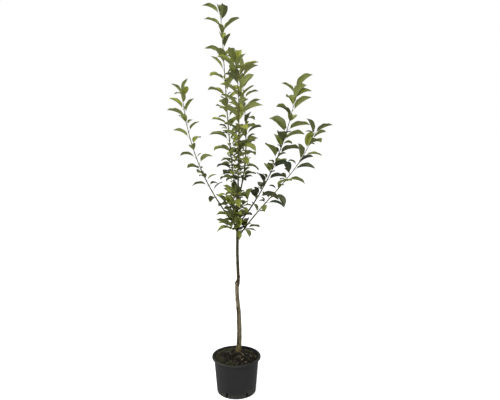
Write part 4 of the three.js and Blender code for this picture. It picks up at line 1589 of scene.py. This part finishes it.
def makeCrumbs(materials):
    random = seeded(crumb["seed"])
    least, more = mossLook["onCrumbs"]
    mossTone = mossLook["tones"][1]
    for look in crumbLooks:
        points, faces = look["ball"]
        spots = scatter(random, look["count"], look["margin"])
        heap = Heap()
        for spot, z, moss in zip(spots, soilHeight(spots), mossAt(spots)):
            size = mix(*look["sizes"], random() ** crumb["fine"])
            shape = ragged(points, look["ragged"], random)
            wide, high = [size * byChance(random, *part) for part in crumb["flat"]]
            shape = turned(shape * [size, wide, high], anyTurns(random))
            loose = looseTone(random(), spot[0])
            tone = mossTone if moss > 0 and random() < least + more * moss else loose
            heap.add(shape + [*spot, z + size * crumb["lift"]], faces, tone)
        place(meshPiece(look["name"], heap, materials, smooth=False), "soil")


spilled = {
    "seed": 613, "count": 760, "rings": (118.3, 128), "inwards": 1.3, "turns": (138, 176),
    "sizes": (0.8, 2.1), "fine": 2, "flat": (1, 0.8, 0.6), "ragged": 0.5, "lift": 0.3, "tones": (0.4, 0.6),
}


def makeSpilled(materials):
    # fine crumbs on the pot's mouth, most of them at the front and on the left
    random = seeded(spilled["seed"])
    points, faces = smallBall
    bow = pot["mouthRound"]
    flatFrom = pot["neck"] - pot["wall"] + bow
    heap = Heap()
    for _ in range(spilled["count"]):
        radius = mix(*spilled["rings"], random() ** spilled["inwards"])
        turn = byChance(random, *spilled["turns"]) * degree
        size = mix(*spilled["sizes"], random() ** spilled["fine"])
        inside = max(0, flatFrom - radius)
        top = pot["height"] - bow + math.sqrt(max(0, bow**2 - inside**2)) if inside else pot["height"]
        shape = ragged(points, spilled["ragged"], random)
        shape = turned(shape * [size * part for part in spilled["flat"]], anyTurns(random))
        spot = [radius * math.cos(turn), radius * math.sin(turn), top + size * spilled["lift"]]
        heap.add(shape + spot, faces, looseTone(byChance(random, *spilled["tones"])))
    place(meshPiece("spilled_crumbs", heap, materials, smooth=False), "soil")


chipLooks = [
    {"name": "bark_chips", "count": 180, "lengths": (3, 9), "tones": (1, 2, 2), "placed": []},
    {
        "name": "pale_chips", "count": 24, "lengths": (1.6, 4.2), "tones": (4, 2, 7),
        "placed": [  # x, y, turn, length, width, tone
            (31, -58, 62, 7.0, 3.0, 4), (53, -76, 20, 4.5, 2.2, 4), (35, -6, 120, 5.0, 2.4, 4),
            (22, -34, 75, 4.0, 1.8, 4), (14, 15, 10, 6.0, 3.0, 6), (4, 19, 150, 4.0, 2.2, 6),
            (-98, 1, 40, 5.0, 2.4, 6), (-40, 27, 15, 8.0, 4.0, 2), (-49, 20, 60, 6.5, 3.4, 2),
            (-33, 18, 110, 6.0, 3.2, 2), (-44, 36, 150, 6.0, 3.0, 2), (-30, 32, 80, 5.5, 2.6, 2),
            (-18, 2, 30, 6.0, 2.6, 2), (38, -48, 140, 6.0, 2.6, 2), (26, -72, 100, 5.0, 2.6, 2),
        ],
    },
]
chip = {
    "seed": 404, "margin": 12, "short": 1.5, "wide": (0.25, 0.25), "thick": (0.5, 0.5),
    "square": 0.7, "ragged": 0.3, "tilt": 0.5, "lift": 0.9, "placedLift": 1.2, "placedThick": 1.1,
}


def makeChips(materials):
    random = seeded(chip["seed"])
    for look in chipLooks:
        spots = scatter(random, look["count"], chip["margin"])
        heap = Heap()
        for spot, z in zip(spots, soilHeight(spots)):
            length = mix(*look["lengths"], random() ** chip["short"])
            wide = length * byChance(random, *chip["wide"])
            size = [length, wide, byChance(random, *chip["thick"])]
            turn = 2 * math.pi * random()
            addChip(heap, random, size, turn, [*spot, z], look["tones"][int(random() * 3)])
        for x, y, turn, length, width, tone in look["placed"]:
            z = soilHeight([(x, y)])[0] + chip["placedLift"]
            addChip(heap, random, [length, width, chip["placedThick"]], turn * degree, [x, y, z], tone)
        place(meshPiece(look["name"], heap, materials, smooth=False), "soil")


def addChip(heap, random, size, turn, spot, tone):
    # a flat, ragged chip that lies on the soil
    points, faces = largeBall
    shape = ragged(np.sign(points) * np.abs(points) ** chip["square"], chip["ragged"], random)
    angles = [turn, chip["tilt"] * (random() - 0.5), chip["tilt"] * (random() - 0.5)]
    heap.add(turned(shape * size, angles) + [*spot[:2], spot[2] + chip["lift"]], faces, tone)


def makeMoss(materials):
    look = mossLook
    random = seeded(look["seed"])
    spots = scatter(random, look["tries"], look["margin"])
    share = mossAt(spots)
    keep = [i for i in range(len(spots)) if share[i] > 0 and random() < share[i] * look["thin"]]
    spots = spots[keep[: look["blades"]]]
    green, dry = look["tones"]
    heap = Heap()
    for (x, y), z in zip(spots, soilHeight(spots)):
        tall, wide = byChance(random, *look["tall"]), byChance(random, *look["wide"])
        turn = 2 * math.pi * random()
        around = [turn + k * look["third"] for k in range(3)]
        ring = [[x + wide * math.cos(a), y + wide * math.sin(a), z - look["sunk"]] for a in around]
        tip = [x + look["lean"] * (random() - 0.5), y + look["lean"] * (random() - 0.5), z + tall]
        faces = [[0, 2, 1, -1], [0, 1, 3, -1], [1, 2, 3, -1], [2, 0, 3, -1]]
        heap.add(ring + [tip], faces, green if random() < look["green"] else dry)
    place(meshPiece("moss", heap, materials, smooth=False), "soil")


twig = {
    "places": [(24, 10), (33, -6), (42, -22)], "radii": (1.7, 1.3), "lift": 1.6, "raised": (1, 1.5),
    "steps": 10, "sides": 8, "tone": 4,
}
bareRoot = {
    "lift": 0.4, "sink": 1.2, "bend": 1.5, "steps": 30, "sides": 10, "tone": 2,
    "courses": [  # places and radii; each sinks in towards its tip
        ([(16, 26), (20, 6), (20, -22), (30, -52)], (3.2, 1.1)),
        ([(0, 31), (-18, 18), (-42, 12)], (3.0, 1.0)),
        ([(24, 44), (40, 52), (62, 50)], (2.8, 1.0)),
    ],
}


def onSoil(places, lift, count):
    # a line that lies on the soil through given places
    flat = throughPoints([[x, y, 0] for x, y in places], count)[:, :2]
    return np.concatenate([flat, (soilHeight(flat) + lift)[:, None]], 1)


def makeTwigAndRoots(materials):
    heap = Heap()
    stick = onSoil(twig["places"], twig["lift"], twig["steps"])
    begin, end = twig["raised"]
    stick[:, 2] = np.linspace(stick[0, 2] + begin, stick[-1, 2] + end, len(stick))
    heap.add(*tube(stick, np.linspace(*twig["radii"], len(stick)), twig["sides"]), twig["tone"])
    look = bareRoot
    for places, radii in look["courses"]:
        root = onSoil(places, look["lift"], look["steps"])
        root[:, 2] -= np.linspace(0, radii[1] + look["sink"], len(root)) ** look["bend"]
        heap.add(*tube(root, np.linspace(*radii, len(root)), look["sides"]), look["tone"])
    place(meshPiece("twig_and_roots", heap, materials), "soil")


soilFinish = {
    "blotch": 220.0, "grain": 1300.0, "amount": 0.9, "specular": 0.08, "bump": 0.5, "bumpDepth": 0.8,
}
soilFinishes = [blotchy(f"soil {i + 1}", *pair, 0.95, **soilFinish) for i, pair in enumerate(soilTones)]
for make in (makeSoilBed, makeCrumbs, makeSpilled, makeChips, makeMoss, makeTwigAndRoots):
    make(soilFinishes)
print("soil ready")
